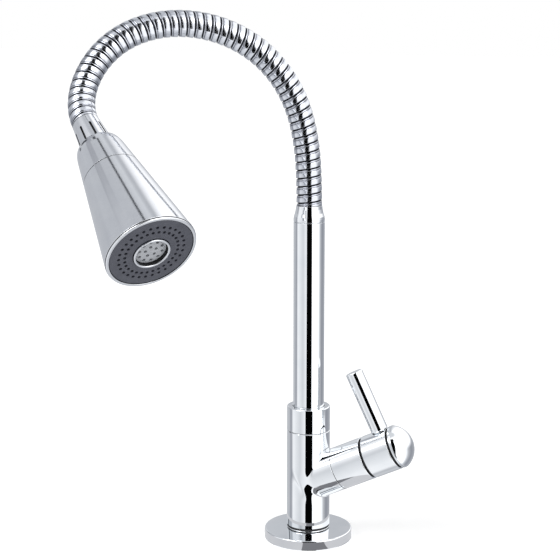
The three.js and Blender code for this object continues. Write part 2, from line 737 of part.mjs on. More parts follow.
// Skins a closed chain of [distance, radius] rings round a link's centreline
function skinLink(index, rings, sides) {
  const places = [];
  const corners = [];
  rings.forEach(([distance, radius], k) => {
    const frame = linkFrame(index, distance);
    const next = (k + 1) % rings.length;
    for (let i = 0; i < sides; i += 1) {
      const angle = 2 * Math.PI * i / sides;
      const point = new THREE.Vector3(radius * Math.cos(angle), radius * Math.sin(angle), 0);
      places.push(...point.applyMatrix4(frame).toArray());
      const beside = (i + 1) % sides;
      const [a, b, c, d] = [k * sides + i, k * sides + beside, next * sides + beside, next * sides + i];
      corners.push(a, b, c, a, c, d);
    }
  });
  const geometry = new THREE.BufferGeometry();
  geometry.setAttribute('position', new THREE.Float32BufferAttribute(places, 3));
  geometry.setIndex(corners);
  return closedGeometry(geometry);
}

// Radius of a lap's sphere at a distance from its centre
function sphereRadiusAt(diameter, distance) {
  return Math.sqrt(diameter * diameter / 4 - distance * distance);
}

// Rings of one link: turns outside, a ball or spigot at its far end, the bore and a cup or spigot
function linkRings(index) {
  const isFirst = index === 0;
  const isLast = index === linkCount - 1;
  const crest = hoseDiameter / 2;
  const valley = crest - turnStep;
  const bore = hoseBore / 2;
  const spigot = hoseSpigotDiameter / 2;
  const spigotReach = hoseSocketDepth - 2 * fitGap;
  const start = isFirst ? 0 : -lapWrap;
  const rings = [[start, crest]];
  for (let turn = 1; turn < turnsPerLink; turn += 1) {
    const seam = turn * turnPitch - lapWrap;
    rings.push([seam - turnSeam, valley], [seam, crest]);
  }
  if (isLast) {
    rings.push([linkLength, valley], [linkLength, spigot]);
    rings.push([linkLength + spigotReach, spigot], [linkLength + spigotReach, bore]);
  } else {
    const shoulder = linkLength - lapWrap - lapGroove;
    const neckDistance = lapWrap + lapGroove - turnSeam;
    rings.push([shoulder, valley], [shoulder + turnSeam, sphereRadiusAt(lapBallDiameter, neckDistance)]);
    rings.push([linkLength, lapBallDiameter / 2]);
    rings.push([linkLength + lapReach, sphereRadiusAt(lapBallDiameter, lapReach)]);
    rings.push([linkLength + lapReach, bore + lapFlare]);
  }
  if (isLast) rings.push([linkLength, bore]);
  rings.push([linkLength * 2 / 3, bore], [linkLength / 3, bore]);
  if (isFirst) {
    rings.push([start, bore], [-spigotReach, bore], [-spigotReach, spigot], [start, spigot]);
  } else {
    const cupDiameter = lapBallDiameter + 2 * fitGap;
    const cupPlaces = [lapCupDepth, lapCupDepth / 3, -lapWrap];
    rings.push([lapCupDepth, bore]);
    cupPlaces.forEach((place) => rings.push([place, sphereRadiusAt(cupDiameter, place)]));
  }
  return rings;
}

// Rings of one length of the liner, which stops short of the next by the gap it needs to bend
function linerRings(index) {
  const inSocket = hoseSocketDepth - 2 * fitGap;
  const starts = index === 0 ? [-inSocket, 0] : [linerEndGap / 2];
  const ends = index === linkCount - 1 ? [linkLength, linkLength + inSocket] : [linkLength - linerEndGap / 2];
  const places = [...starts, linkLength / 3, linkLength * 2 / 3, ...ends];
  const outside = places.map((place) => [place, linerDiameter / 2]);
  const inside = places.reverse().map((place) => [place, linerBore / 2]);
  return [...outside, ...inside];
}

// The hose as nested groups, each link placed at the end of the one before it
function addHose(group) {
  let carrier = new THREE.Group();
  carrier.position.set(0, 0, hoseStartHeight);
  carrier.rotation.z = spoutAzimuth;
  group.add(carrier);
  for (let index = 0; index < linkCount; index += 1) {
    const number = String(index + 1).padStart(2, '0');
    const link = skinLink(index, linkRings(index), hoseSides);
    addPiece(carrier, `hose_link_${number}`, link, chromedSteelStrip);
    const liner = skinLink(index, linerRings(index), linerSides);
    addPiece(carrier, `hose_liner_${number}`, liner, clearLiner);
    const next = new THREE.Group();
    next.applyMatrix4(linkFrame(index, linkLength));
    carrier.add(next);
    carrier = next;
  }
  return carrier;
}

// The slotted collar holds the end of the hose, and the spray head turns on its spigot
function addHeadCollar(group) {
  const narrow = hoseDiameter / 2;
  const wide = headCollarWide / 2;
  const waterBore = linerDiameter / 2 + 2 * fitGap;
  const spigot = swivelSpigotDiameter / 2;
  const spigotEnd = headCollarLength + swivelSpigotLength;
  const webEnd = headCollarLength + fitGap + neckWebThickness;
  const clipLow = webEnd + fitGap;
  const clipHigh = clipLow + clipThickness;
  const collarSides = 2 * slotCount;
  const sealDistance = headCollarLength + fitGap + neckWebThickness / 2;
  const clipFloor = spigot - clipGrooveDepth;
  const blank = revolve([
    [hoseSocketBore / 2, fitGap],
    [narrow, fitGap],
    [wide, headCollarVisible],
    [wide, headCollarLength],
    [spigot, headCollarLength],
    ...grooveOutline(spigot, sealDistance, swivelRingSection).reverse(),
    [spigot, clipLow - fitGap],
    [clipFloor, clipLow - fitGap],
    [clipFloor, clipHigh + fitGap],
    [spigot, clipHigh + fitGap],
    [spigot, spigotEnd],
    [waterBore, spigotEnd],
    [waterBore, hoseSocketDepth],
    [hoseSocketBore / 2, hoseSocketDepth],
  ], collarSides);
  const slots = [];
  for (let i = 0; i < slotCount; i += 1) {
    const slot = new THREE.BoxGeometry(slotDepth + cutOverrun, slotWidth, slotLength);
    slot.translate((slotDepth + cutOverrun) / 2 - slotDepth, 0, 0);
    slot.rotateY(Math.atan2(wide - narrow, headCollarVisible - fitGap));
    const middle = slotStart + slotLength / 2;
    const surface = narrow + (wide - narrow) * (middle - fitGap) / (headCollarVisible - fitGap);
    slot.translate(surface, 0, middle);
    slots.push(slot.rotateZ(2 * Math.PI * (i + slotOffsetShare) / slotCount));
  }
  addPiece(group, 'head_collar', cut(blank, ...slots), satinChromedPlastic);
  const tailStep = hoseSocketDepth + fitGap;
  const tailEnd = headCollarLength + swivelSpigotLength / 2;
  addPiece(group, 'upper_hose_tail', hoseTail(tailEnd, tailStep, -hoseTailGrip), rawBrass);
  const seal = oRing(spigot, sealDistance, swivelRingSection, collarSides);
  addPiece(group, 'head_swivel_seal', seal, blackRubber);
  const clip = ring(clipFloor + fitGap, spigot + clipWidth - fitGap, clipLow, clipHigh, innerSides);
  addPiece(group, 'head_swivel_clip', clip, plainSteel);
}

// Outer radius of the head's cone at a distance along its axis
function coneRadius(distance) {
  const start = headCollarVisible + neckShoulderLength;
  const share = (distance - start) / (shellEndDistance - start);
  return THREE.MathUtils.lerp(neckShoulderDiameter, shellEndDiameter, share) / 2;
}

// Neck and shell of the spray head, with the waterway down its middle
function addHeadShells(group) {
  const mouth = headCollarWide / 2 + fitGap;
  const webLow = headCollarLength + fitGap;
  const webHigh = webLow + neckWebThickness - fitGap;
  const swivelBore = swivelSpigotDiameter / 2 + fitGap;
  const shoulderShares = [[0, 0], [0.33, 0.11], [0.67, 0.36], [0.85, 0.64], [1, 1]];
  const shoulder = shoulderShares.map(([widthShare, lengthShare]) => [
    (neckTopDiameter + (neckShoulderDiameter - neckTopDiameter) * widthShare) / 2,
    headCollarVisible + neckShoulderLength * lengthShare,
  ]);
  const lapEnd = neckSeamDistance + shellLap;
  const lapRadius = (distance) => coneRadius(distance) - shellWall - fitGap;
  addPiece(group, 'head_neck', revolve([
    [mouth, headCollarVisible],
    ...shoulder,
    [coneRadius(neckSeamDistance), neckSeamDistance],
    [lapRadius(neckSeamDistance), neckSeamDistance],
    [lapRadius(lapEnd), lapEnd],
    [lapRadius(lapEnd) - shellWall, lapEnd],
    [lapRadius(webHigh), webHigh],
    [swivelBore, webHigh],
    [swivelBore, webLow],
    [mouth, webLow],
  ], wideSides), satinChromedPlastic);
  const seatHigh = shellEndDistance - bezelSpigotLength;
  addPiece(group, 'head_shell', revolve([
    [coneRadius(shellStartDistance) - shellWall, shellStartDistance],
    [coneRadius(shellStartDistance), shellStartDistance],
    [coneRadius(shellEndDistance), shellEndDistance],
    [coneRadius(shellEndDistance) - shellMouthWall, shellEndDistance],
    [coneRadius(seatHigh) - shellMouthWall, seatHigh],
    [coneRadius(seatHigh) - shellWall, seatHigh],
  ], wideSides), satinChromedPlastic);
  const inner = waterwayBore / 2;
  const outer = inner + waterwayWall;
  const seatLow = seatHigh - waterwaySeatThickness;
  const seatRadius = coneRadius(seatLow) - shellWall - fitGap;
  addPiece(group, 'head_waterway', revolve([
    [inner, webHigh + fitGap],
    [outer, webHigh + fitGap],
    [outer, seatLow],
    [seatRadius, seatLow],
    [seatRadius, seatHigh],
    [inner, seatHigh],
  ], innerSides), whitePlastic);
}

// The bezel carries the spray face, the diverter and the aerator, and turns to change the jet
function addSelector(group) {
  const faceRadius = faceDiameter / 2;
  const bezelRadius = bezelDiameter / 2;
  const bezelStart = shellEndDistance + fitGap;
  const bezelEnd = faceDistance + bezelLip;
  const spigotStart = bezelStart - bezelSpigotLength;
  const spigotRadius = (distance) => coneRadius(distance) - shellMouthWall - fitGap;
  const spigotInner = spigotRadius(spigotStart) - bezelSpigotWall;
  const faceBack = faceDistance - sprayFaceThickness;
  addPiece(group, 'head_bezel', revolve([
    [faceRadius + fitGap, bezelEnd],
    ...roundedEdge(bezelRadius - bezelEdgeRadius, bezelEnd - bezelEdgeRadius, bezelEdgeRadius, 1, 0),
    [bezelRadius, bezelStart],
    [spigotRadius(bezelStart), bezelStart],
    [spigotRadius(spigotStart), spigotStart],
    [spigotInner, spigotStart],
    [spigotInner, faceBack - fitGap],
    [faceRadius + fitGap, faceBack - fitGap],
  ], wideSides), satinChromedPlastic);

  const [low, high] = [faceBack - cutOverrun, faceDistance + cutOverrun];
  const plate = revolve([
    [aeratorDiameter / 2 + fitGap, faceBack],
    [faceRadius, faceBack],
    [faceRadius, faceDistance],
    [aeratorDiameter / 2 + fitGap, faceDistance + sprayFaceCrown],
  ], wideSides);
  const outerHoles = holesOnCircle(
    outerHoleCount, outerHoleCircleDiameter, sprayHoleDiameter, low, high, sprayHoleSides, outerHoleOffsetShare);
  const innerHoles = holesOnCircle(
    innerHoleCount, innerHoleCircleDiameter, sprayHoleDiameter, low, high, sprayHoleSides, innerHoleOffsetShare);
  addPiece(group, 'spray_face', cut(plate, ...outerHoles, ...innerHoles), darkPlastic);

  const diverterLow = spigotStart + fitGap;
  const diverterHigh = diverterLow + diverterThickness;
  const ports = holesOnCircle(
    diverterPortCount, (outerHoleCircleDiameter + innerHoleCircleDiameter) / 2, diverterPortDiameter,
    diverterLow - cutOverrun, diverterHigh + cutOverrun, sprayHoleSides, 0);
  const diverter = ring(diverterBore / 2, spigotInner - fitGap, diverterLow, diverterHigh, riserSides);
  addPiece(group, 'jet_diverter', cut(diverter, ...ports), whitePlastic);

  const flangeLow = diverterHigh + fitGap;
  const insertHigh = faceDistance - insertRecess;
  const insertLow = insertHigh - insertThickness;
  const ledgeRadius = aeratorBore / 2 - aeratorLedge;
  addPiece(group, 'aerator_ring', revolve([
    [ledgeRadius, flangeLow],
    [aeratorFlangeDiameter / 2, flangeLow],
    [aeratorFlangeDiameter / 2, flangeLow + aeratorFlangeThickness],
    [aeratorDiameter / 2, flangeLow + aeratorFlangeThickness],
    [aeratorDiameter / 2, faceDistance + aeratorProud],
    [aeratorBore / 2, faceDistance + aeratorProud],
    [aeratorBore / 2, insertLow - fitGap],
    [ledgeRadius, insertLow - fitGap],
  ], riserSides), satinChromedPlastic);
  const insertHoles = [
    ...holesOnCircle(insertOuterHoleCount, insertOuterCircleDiameter, insertHoleDiameter,
      insertLow - cutOverrun, insertHigh + cutOverrun, sprayHoleSides, 0),
    ...holesOnCircle(insertInnerHoleCount, insertInnerCircleDiameter, insertHoleDiameter,
      insertLow - cutOverrun, insertHigh + cutOverrun, sprayHoleSides, 1 / 2),
  ];
  const insert = ring(0, aeratorBore / 2 - fitGap, insertLow, insertHigh, innerSides);
  addPiece(group, 'aerator_insert', cut(insert, ...insertHoles), lightPlastic);
}

addFlange(faucet);
addClamp(faucet);
addTapBody(faucet);
addSwivelCollar(faucet);

const valve = new THREE.Group();
valve.position.set(0, 0, barrelHeight);
valve.rotation.y = Math.PI / 2 - barrelRise;
faucet.add(valve);
const movingDiscLow = addCartridge(valve);
addLever(valve, movingDiscLow);

addRiser(faucet);
const headCarrier = addHose(faucet);
addHeadCollar(headCarrier);
addHeadShells(headCarrier);
addSelector(headCarrier);

export default faucet;
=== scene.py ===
"""Looks of a single-lever deck tap with a flexible stripwound spout and a two-jet spray head.

Metres, +Z up. The tap stands on the deck at z = 0, its barrel leans out to +X and -Y is the front.
"""

import cmath
import json
import math

import bmesh
import bpy
from mathutils import Matrix, Vector


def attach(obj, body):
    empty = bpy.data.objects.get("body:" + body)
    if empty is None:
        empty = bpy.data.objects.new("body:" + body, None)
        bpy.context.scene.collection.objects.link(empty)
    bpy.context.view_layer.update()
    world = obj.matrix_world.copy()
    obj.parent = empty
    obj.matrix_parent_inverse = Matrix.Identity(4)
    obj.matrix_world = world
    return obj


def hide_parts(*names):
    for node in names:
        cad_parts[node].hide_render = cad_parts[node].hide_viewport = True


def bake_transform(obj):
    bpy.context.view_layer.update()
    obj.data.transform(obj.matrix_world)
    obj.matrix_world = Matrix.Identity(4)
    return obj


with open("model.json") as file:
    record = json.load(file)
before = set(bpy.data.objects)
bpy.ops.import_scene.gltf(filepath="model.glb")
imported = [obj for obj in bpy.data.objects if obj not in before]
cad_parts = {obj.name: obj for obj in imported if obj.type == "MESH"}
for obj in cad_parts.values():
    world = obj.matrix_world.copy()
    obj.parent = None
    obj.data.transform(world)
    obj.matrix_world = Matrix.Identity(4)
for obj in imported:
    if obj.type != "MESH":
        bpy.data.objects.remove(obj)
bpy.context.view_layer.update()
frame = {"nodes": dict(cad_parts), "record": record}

MM = 0.001
FIT_GAP = 0.3

# Fineness of the turned pieces: steps round a piece and in a rounded edge
ROUND_STEPS = 160
EDGE_STEPS = 5
EDGE_SUPPORT = 0.03
SHARP_ANGLE = math.radians(28)
WELD_DISTANCE = 1e-7

# Column, branch and barrel, in millimetres
BODY_RADIUS = 14
BARREL_HEIGHT = 38.5
BARREL_RISE = math.radians(25.5)
BORE_RADIUS = 10.7
COLUMN_FOOT = 8.9
COLUMN_TOP = 73
COLUMN_EDGE = 0.3
WATERWAY_TOP = 20.2
COLLAR_SOCKET_RADIUS = 12.6
COLLAR_SOCKET_FLOOR = 66
SWIVEL_SOCKET_RADIUS = 8.6
SWIVEL_SOCKET_FLOOR = 58.2
BRANCH_REACH = 23.6
BRANCH_BORE_RADIUS = 12
BRANCH_BORE_FLOOR = 8
BLEND_WIDTH = 6
BLEND_REACH = 12
BLEND_LEAST_SHARE = 0.02
BLEND_ROWS = (0, 0.3, 0.7, 1.2, 1.8, 2.5, 3.3, 4.2, 5.2, 6.3, 7.5, 9, 11)
HOUSING_END = 45.1
HUB_START = 46.7
HUB_END = 64.6
CAP_START = 66.2
LEVER_DISTANCE = 59.8
LEVER_RADIUS = 5.6
LEVER_REACH = 55
SPINDLE_HOLE_RADIUS = 4.3

# Riser, and the hose: centreline bends of its ten links, and the strip that is wound on it
RISER_RADIUS = 10
RISER_BORE_RADIUS = 8.8
LINER_RADIUS = 5.7
HOSE_SOCKET_RADIUS = 7.3
HOSE_SOCKET_DEPTH = 6.1
HOSE_START = 220.5
HOSE_LENGTH = 264
HOSE_RADIUS = 8.2
LINK_COUNT = 10
LINK_LENGTH = HOSE_LENGTH / LINK_COUNT
TURNS_PER_LINK = 5
PITCH = LINK_LENGTH / TURNS_PER_LINK
SPOUT_AZIMUTH = math.radians(225.8)
IN_PLANE_BENDS = (3.32, 9.88, 17.02, 19.49, 18.54, 18.16, 20.8, 25.38, 24.71, 25.56)
SIDEWAYS_BENDS = (-1.36, -2.87, -4.52, -4.81, -3.83, -2.33, -0.39, 3.71, 11.9, 28.7)

# Spray head, measured along its axis from the end of the hose
COLLAR_VISIBLE = 19.9
COLLAR_WIDE_RADIUS = 9.9
CONE_START = 26.9
CONE_END = 105.9
CONE_START_RADIUS = 14.6
CONE_END_RADIUS = 26.8
NECK_SEAM = 45.6
FACE_DISTANCE = 106.7


# Nodes and colours

def linear(code):
    """Linear colour of an sRGB hex code."""
    shares = [int(code[i:i + 2], 16) / 255 for i in (1, 3, 5)]
    return [s / 12.92 if s <= 0.04045 else ((s + 0.055) / 1.055) ** 2.4 for s in shares] + [1]


def add(tree, kind, inputs=None, **settings):
    """Adds a node with its settings; an input is a value or another node's output."""
    node = tree.nodes.new(kind)
    for name, value in settings.items():
        setattr(node, name, value)
    for key, value in (inputs or {}).items():
        if isinstance(value, bpy.types.NodeSocket):
            tree.links.new(value, node.inputs[key])
        else:
            node.inputs[key].default_value = value
    return node


def ramp(tree, factor, *stops):
    """A colour ramp through (position, hex colour) stops."""
    node = add(tree, "ShaderNodeValToRGB", {"Fac": factor})
    elements = node.color_ramp.elements
    while len(elements) < len(stops):
        elements.new(0.5)
    for element, (position, code) in zip(elements, stops):
        element.position = position
        element.color = linear(code)
    return node.outputs["Color"]


def spread(tree, value, low, high):
    """Maps a 0 to 1 value to a range."""
    node = add(tree, "ShaderNodeMapRange", {"Value": value, "To Min": low, "To Max": high})
    return node.outputs["Result"]


def grain(tree, size, detail=2.0, stretch=(1, 1, 1), rough=0.5):
    """Noise on Object coordinates whose blotches are about size millimetres wide."""
    place = add(tree, "ShaderNodeTexCoord").outputs["Object"]
    place = add(tree, "ShaderNodeMapping", {"Vector": place, "Scale": stretch}).outputs["Vector"]
    inputs = {"Vector": place, "Scale": 1 / (size * MM), "Detail": detail, "Roughness": rough}
    return add(tree, "ShaderNodeTexNoise", inputs).outputs["Fac"]


def finish(name, color, metallic, roughness, bump=None, **sockets):
    """A material: colour and roughness may be sockets of its own tree, made by functions."""
    material = bpy.data.materials.new(name)
    material.use_nodes = True
    tree = material.node_tree
    tree.nodes.clear()
    shader = add(tree, "ShaderNodeBsdfPrincipled", {"Metallic": metallic, **sockets})
    color = color(tree) if callable(color) else linear(color)
    roughness = roughness(tree) if callable(roughness) else roughness
    for key, value in (("Base Color", color), ("Roughness", roughness)):
        if isinstance(value, bpy.types.NodeSocket):
            tree.links.new(value, shader.inputs[key])
        else:
            shader.inputs[key].default_value = value
    if bump:
        height, depth = bump
        relief = add(tree, "ShaderNodeBump", {
            "Height": height(tree), "Distance": depth * MM, "Strength": 1.0})
        tree.links.new(relief.outputs["Normal"], shader.inputs["Normal"])
    add(tree, "ShaderNodeOutputMaterial", {"Surface": shader.outputs["BSDF"]})
    return material


# Chrome plate on polished brass: a mirror with the faint long ripple that hand polishing leaves
polished_chrome = finish(
    "polished_chrome",
    lambda tree: ramp(tree, grain(tree, 14), (0.3, "#e4e7ea"), (0.7, "#ebedef")),
    1.0,
    lambda tree: spread(tree, grain(tree, 3, 4), 0.015, 0.05),
    (lambda tree: grain(tree, 11, 1), 0.006))


def strip_share(tree):
    """How far across the wound strip a point lies, from its leading lip to the seam."""
    uv = add(tree, "ShaderNodeUVMap", uv_map="UVMap").outputs["UV"]
    return add(tree, "ShaderNodeSeparateXYZ", {"Vector": uv}).outputs["Y"]


# Chromed steel strip: bright and a little hazed by rolling; its colour carries painted shade at the leading
# lip, at the rolled groove and in each seam, with painted grey reflection bands beside them
wound_strip = finish(
    "wound_strip",
    lambda tree: ramp(
        tree, strip_share(tree), (0.0, "#0d0e10"), (0.07, "#232429"), (0.13, "#8f929b"), (0.19, "#d4d7dd"),
        (0.27, "#d2d5db"), (0.34, "#a9acb5"), (0.4, "#3f4148"), (0.45, "#777a83"), (0.54, "#cfd2d8"),
        (0.6, "#9a9da6"), (0.65, "#4a4c53"), (0.7, "#141518")),
    1.0,
    lambda tree: spread(tree, grain(tree, 1.2, 4), 0.1, 0.2),
    (lambda tree: grain(tree, 2.5, 2), 0.004))

# Satin chrome on moulded plastic: pearly, with a soft wide highlight
satin_chrome = finish(
    "satin_chrome",
    lambda tree: ramp(tree, grain(tree, 9), (0.3, "#dfe1e5"), (0.7, "#e4e6e9")),
    1.0,
    lambda tree: spread(tree, grain(tree, 0.6, 4), 0.09, 0.13),
    (lambda tree: grain(tree, 0.35, 3), 0.0012))

# Dark moulded ABS of the spray face: fine spark-eroded grain, soft sheen
spray_face_abs = finish(
    "spray_face_abs",
    lambda tree: ramp(tree, grain(tree, 4, 4), (0.3, "#464852"), (0.7, "#4e505a")),
    0.0,
    lambda tree: spread(tree, grain(tree, 0.5, 3), 0.38, 0.52),
    (lambda tree: grain(tree, 0.25, 3), 0.01))

# Light moulded acetal of the aerator's screen: slightly waxy
aerator_acetal = finish(
    "aerator_acetal",
    lambda tree: ramp(tree, grain(tree, 3, 3), (0.3, "#a9acb2"), (0.7, "#b5b8bd")),
    0.0,
    lambda tree: spread(tree, grain(tree, 0.5, 3), 0.3, 0.42),
    (lambda tree: grain(tree, 0.3, 3), 0.006))

# Natural acetal mouldings inside the valve and the head: milky, faintly mottled
natural_acetal = finish(
    "natural_acetal",
    lambda tree: ramp(tree, grain(tree, 5, 4), (0.3, "#e0ddd2"), (0.7, "#ebe9e1")),
    0.0,
    lambda tree: spread(tree, grain(tree, 0.6, 3), 0.34, 0.5),
    (lambda tree: grain(tree, 0.4, 3), 0.006))

# Moulded nitrile rubber: near black, matt, with a light bloom
nitrile_rubber = finish(
    "nitrile_rubber",
    lambda tree: ramp(tree, grain(tree, 3, 5), (0.3, "#17171a"), (0.75, "#26262a")),
    0.0,
    lambda tree: spread(tree, grain(tree, 1, 4), 0.62, 0.85),
    (lambda tree: grain(tree, 0.5, 4), 0.02))

# Painted shade: a near-black colour put in the depth of seams, gaps and slots, where shade falls
painted_seam_shade = finish(
    "painted_seam_shade",
    lambda tree: ramp(tree, grain(tree, 2, 3), (0.3, "#0c0c0e"), (0.75, "#161619")),
    0.0,
    lambda tree: spread(tree, grain(tree, 1, 3), 0.5, 0.7))

# Turned brass left bare: warm, with fine rings from the lathe tool, 0.25 mm apart
turned_brass = finish(
    "turned_brass",
    lambda tree: ramp(tree, grain(tree, 6, 5), (0.25, "#a88a4a"), (0.7, "#c4a765")),
    1.0,
    lambda tree: spread(tree, grain(tree, 0.8, 3, (1, 1, 4)), 0.22, 0.38),
    (lambda tree: grain(tree, 0.5, 1, (0.2, 0.2, 2)), 0.01))

# Bright zinc-plated steel: cool grey with a fine crystalline mottle
plated_steel = finish(
    "plated_steel",
    lambda tree: ramp(tree, grain(tree, 2, 5), (0.3, "#a2a5a8"), (0.7, "#b7babd")),
    1.0,
    lambda tree: spread(tree, grain(tree, 0.7, 4), 0.28, 0.42),
    (lambda tree: grain(tree, 0.6, 3), 0.006))

# Lapped alumina discs: warm white, dense and almost glossy
lapped_ceramic = finish(
    "lapped_ceramic",
    lambda tree: ramp(tree, grain(tree, 1.5, 5), (0.3, "#ece8de"), (0.7, "#f5f2ea")),
    0.0,
    lambda tree: spread(tree, grain(tree, 0.4, 3), 0.12, 0.2),
    (lambda tree: grain(tree, 0.3, 3), 0.002))

# Extruded polyethylene water tube: milky, with drawn streaks along it
water_tube = finish(
    "water_tube",
    lambda tree: ramp(tree, grain(tree, 4, 3, (1, 1, 0.2)), (0.3, "#cfcdc2"), (0.7, "#dedcd2")),
    0.0,
    lambda tree: spread(tree, grain(tree, 1, 3), 0.42, 0.58),
    (lambda tree: grain(tree, 0.8, 3, (1, 1, 0.2)), 0.01))

FINISHES = {
    "chromed_brass": polished_chrome,
    "chromed_strip": wound_strip,
    "satin_chromed_plastic": satin_chrome,
    "dark_plastic": spray_face_abs,
    "light_plastic": aerator_acetal,
    "white_plastic": natural_acetal,
    "black_rubber": nitrile_rubber,
    "raw_brass": turned_brass,
    "plain_steel": plated_steel,
    "white_ceramic": lapped_ceramic,
    "liner_tube": water_tube,
}
SLOT_OF = {part["node"]: part["material_slot"] for part in frame["record"]["subparts"]}
for node_name, node in frame["nodes"].items():
    node.material_slots[0].material = FINISHES[SLOT_OF[node_name]]


# Making pieces

def place_mesh(name, mesh):
    """An object of that name, with its mesh, in the scene."""
    piece = bpy.data.objects.new(name, mesh)
    bpy.context.scene.collection.objects.link(piece)
    return piece


def drawn(name, corners, edges, faces):
    """An object from corners in metres, and the edges or faces between them."""
    mesh = bpy.data.meshes.new(name)
    mesh.from_pydata(corners, edges, faces)
    return place_mesh(name, mesh)


def close_mesh(bm, mesh):
    """Writes a bmesh to a mesh, with its faces outwards and its shading smooth up to sharp edges."""
    if bm.calc_volume(signed=True) < 0:
        bmesh.ops.reverse_faces(bm, faces=bm.faces)
    bm.to_mesh(mesh)
    bm.free()
    mesh.shade_smooth()
    mesh.set_sharp_from_angle(angle=SHARP_ANGLE)


def closed_object(name, bm):
    """Turns a bmesh in metres into a smooth-shaded object whose faces point outwards."""
    bmesh.ops.remove_doubles(bm, verts=bm.verts, dist=WELD_DISTANCE)
    mesh = bpy.data.meshes.new(name)
    close_mesh(bm, mesh)
    return place_mesh(name, mesh)


def stand_for(piece, *nodes):
    """The piece stands in for the CAD nodes that it replaces: it takes their finish and hides them."""
    slot = SLOT_OF[nodes[0]]
    piece.data.materials.clear()
    piece.data.materials.append(FINISHES[slot])
    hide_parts(*nodes)
    return piece


def paint_shade(piece, place, inside):
    """Paints shade: blackens the faces whose middle, as radius and height in millimetres, passes a test."""
    piece.data.materials.append(painted_seam_shade)
    back = place.inverted()
    for face in piece.data.polygons:
        middle = back @ face.center / MM
        if inside(math.hypot(middle.x, middle.y), middle.z):
            face.material_index = 1


def soften(outline):
    """Rounds each [radius, height, edge radius] corner, with support rings beside the arc."""
    points = []
    count = len(outline)
    for i, corner in enumerate(outline):
        here = complex(corner[0], corner[1])
        edge = corner[2] if len(corner) > 2 else 0
        if not edge:
            points.append(here)
            continue
        before = complex(*outline[i - 1][:2]) - here
        after = complex(*outline[(i + 1) % count][:2]) - here
        before /= abs(before)
        after /= abs(after)
        half = abs(cmath.phase(after / before)) / 2
        reach = edge / math.tan(half)
        middle = (before + after) / abs(before + after)
        centre = here + middle * edge / math.sin(half)
        first = here + before * reach - centre
        turn = cmath.phase((here + after * reach - centre) / first)
        points.append(centre + first + before * EDGE_SUPPORT)
        for k in range(EDGE_STEPS + 1):
            points.append(centre + first * cmath.rect(1, turn * k / EDGE_STEPS))
        points.append(here + after * (reach + EDGE_SUPPORT))
    return points


def turned(name, outline, place=Matrix(), steps=ROUND_STEPS):
    """Revolves a closed outline round Z, in millimetres, and sets it in place."""
    bm = bmesh.new()
    rings = []
    for point in soften(outline):
        radius, height = point.real, point.imag
        if radius < 1e-6:
            pole = bm.verts.new(place @ Vector((0, 0, height * MM)))
            rings.append([pole] * steps)
            continue
        ring = []
        for k in range(steps):
            angle = 2 * math.pi * k / steps
            spot = Vector((radius * math.cos(angle), radius * math.sin(angle), height)) * MM
            ring.append(bm.verts.new(place @ spot))
        rings.append(ring)
    for below, above in zip(rings, rings[1:] + rings[:1]):
        join_rings(bm, below, above)
    return closed_object(name, bm)


def join_rings(bm, below, above):
    """Faces between two rings, either of which may be a pole."""
    count = len(below)
    for k in range(count):
        corners = [below[k], below[(k + 1) % count], above[(k + 1) % count], above[k]]
        kept = [c for i, c in enumerate(corners) if c is not corners[i - 1]]
        if len(kept) > 2:
            bm.faces.new(kept)


def hoop(name, inside, outside, low, high, edge, place=Matrix()):
    """A ring of rectangular section with its outer edges rounded, in millimetres."""
    return turned(name, [(inside, low), (outside, low, edge), (outside, high, edge), (inside, high)], place)


def in_frame(origin, along, across):
    """Matrix of a local frame from its origin in millimetres, its Z and its X direction."""
    z = Vector(along).normalized()
    x = Vector(across).normalized()
    y = z.cross(x)
    turn = Matrix((x, y, z)).transposed().to_4x4()
    return Matrix.Translation(Vector(origin) * MM) @ turn


BARREL_ALONG = Vector((math.cos(BARREL_RISE), 0, math.sin(BARREL_RISE)))
BARREL_UP = Vector((-math.sin(BARREL_RISE), 0, math.cos(BARREL_RISE)))
BARREL = in_frame((0, 0, BARREL_HEIGHT), BARREL_ALONG, -BARREL_UP)
LEVER = in_frame(
    Vector((0, 0, BARREL_HEIGHT)) + BARREL_ALONG * LEVER_DISTANCE, BARREL_UP, BARREL_ALONG)


# Column, barrel and lever

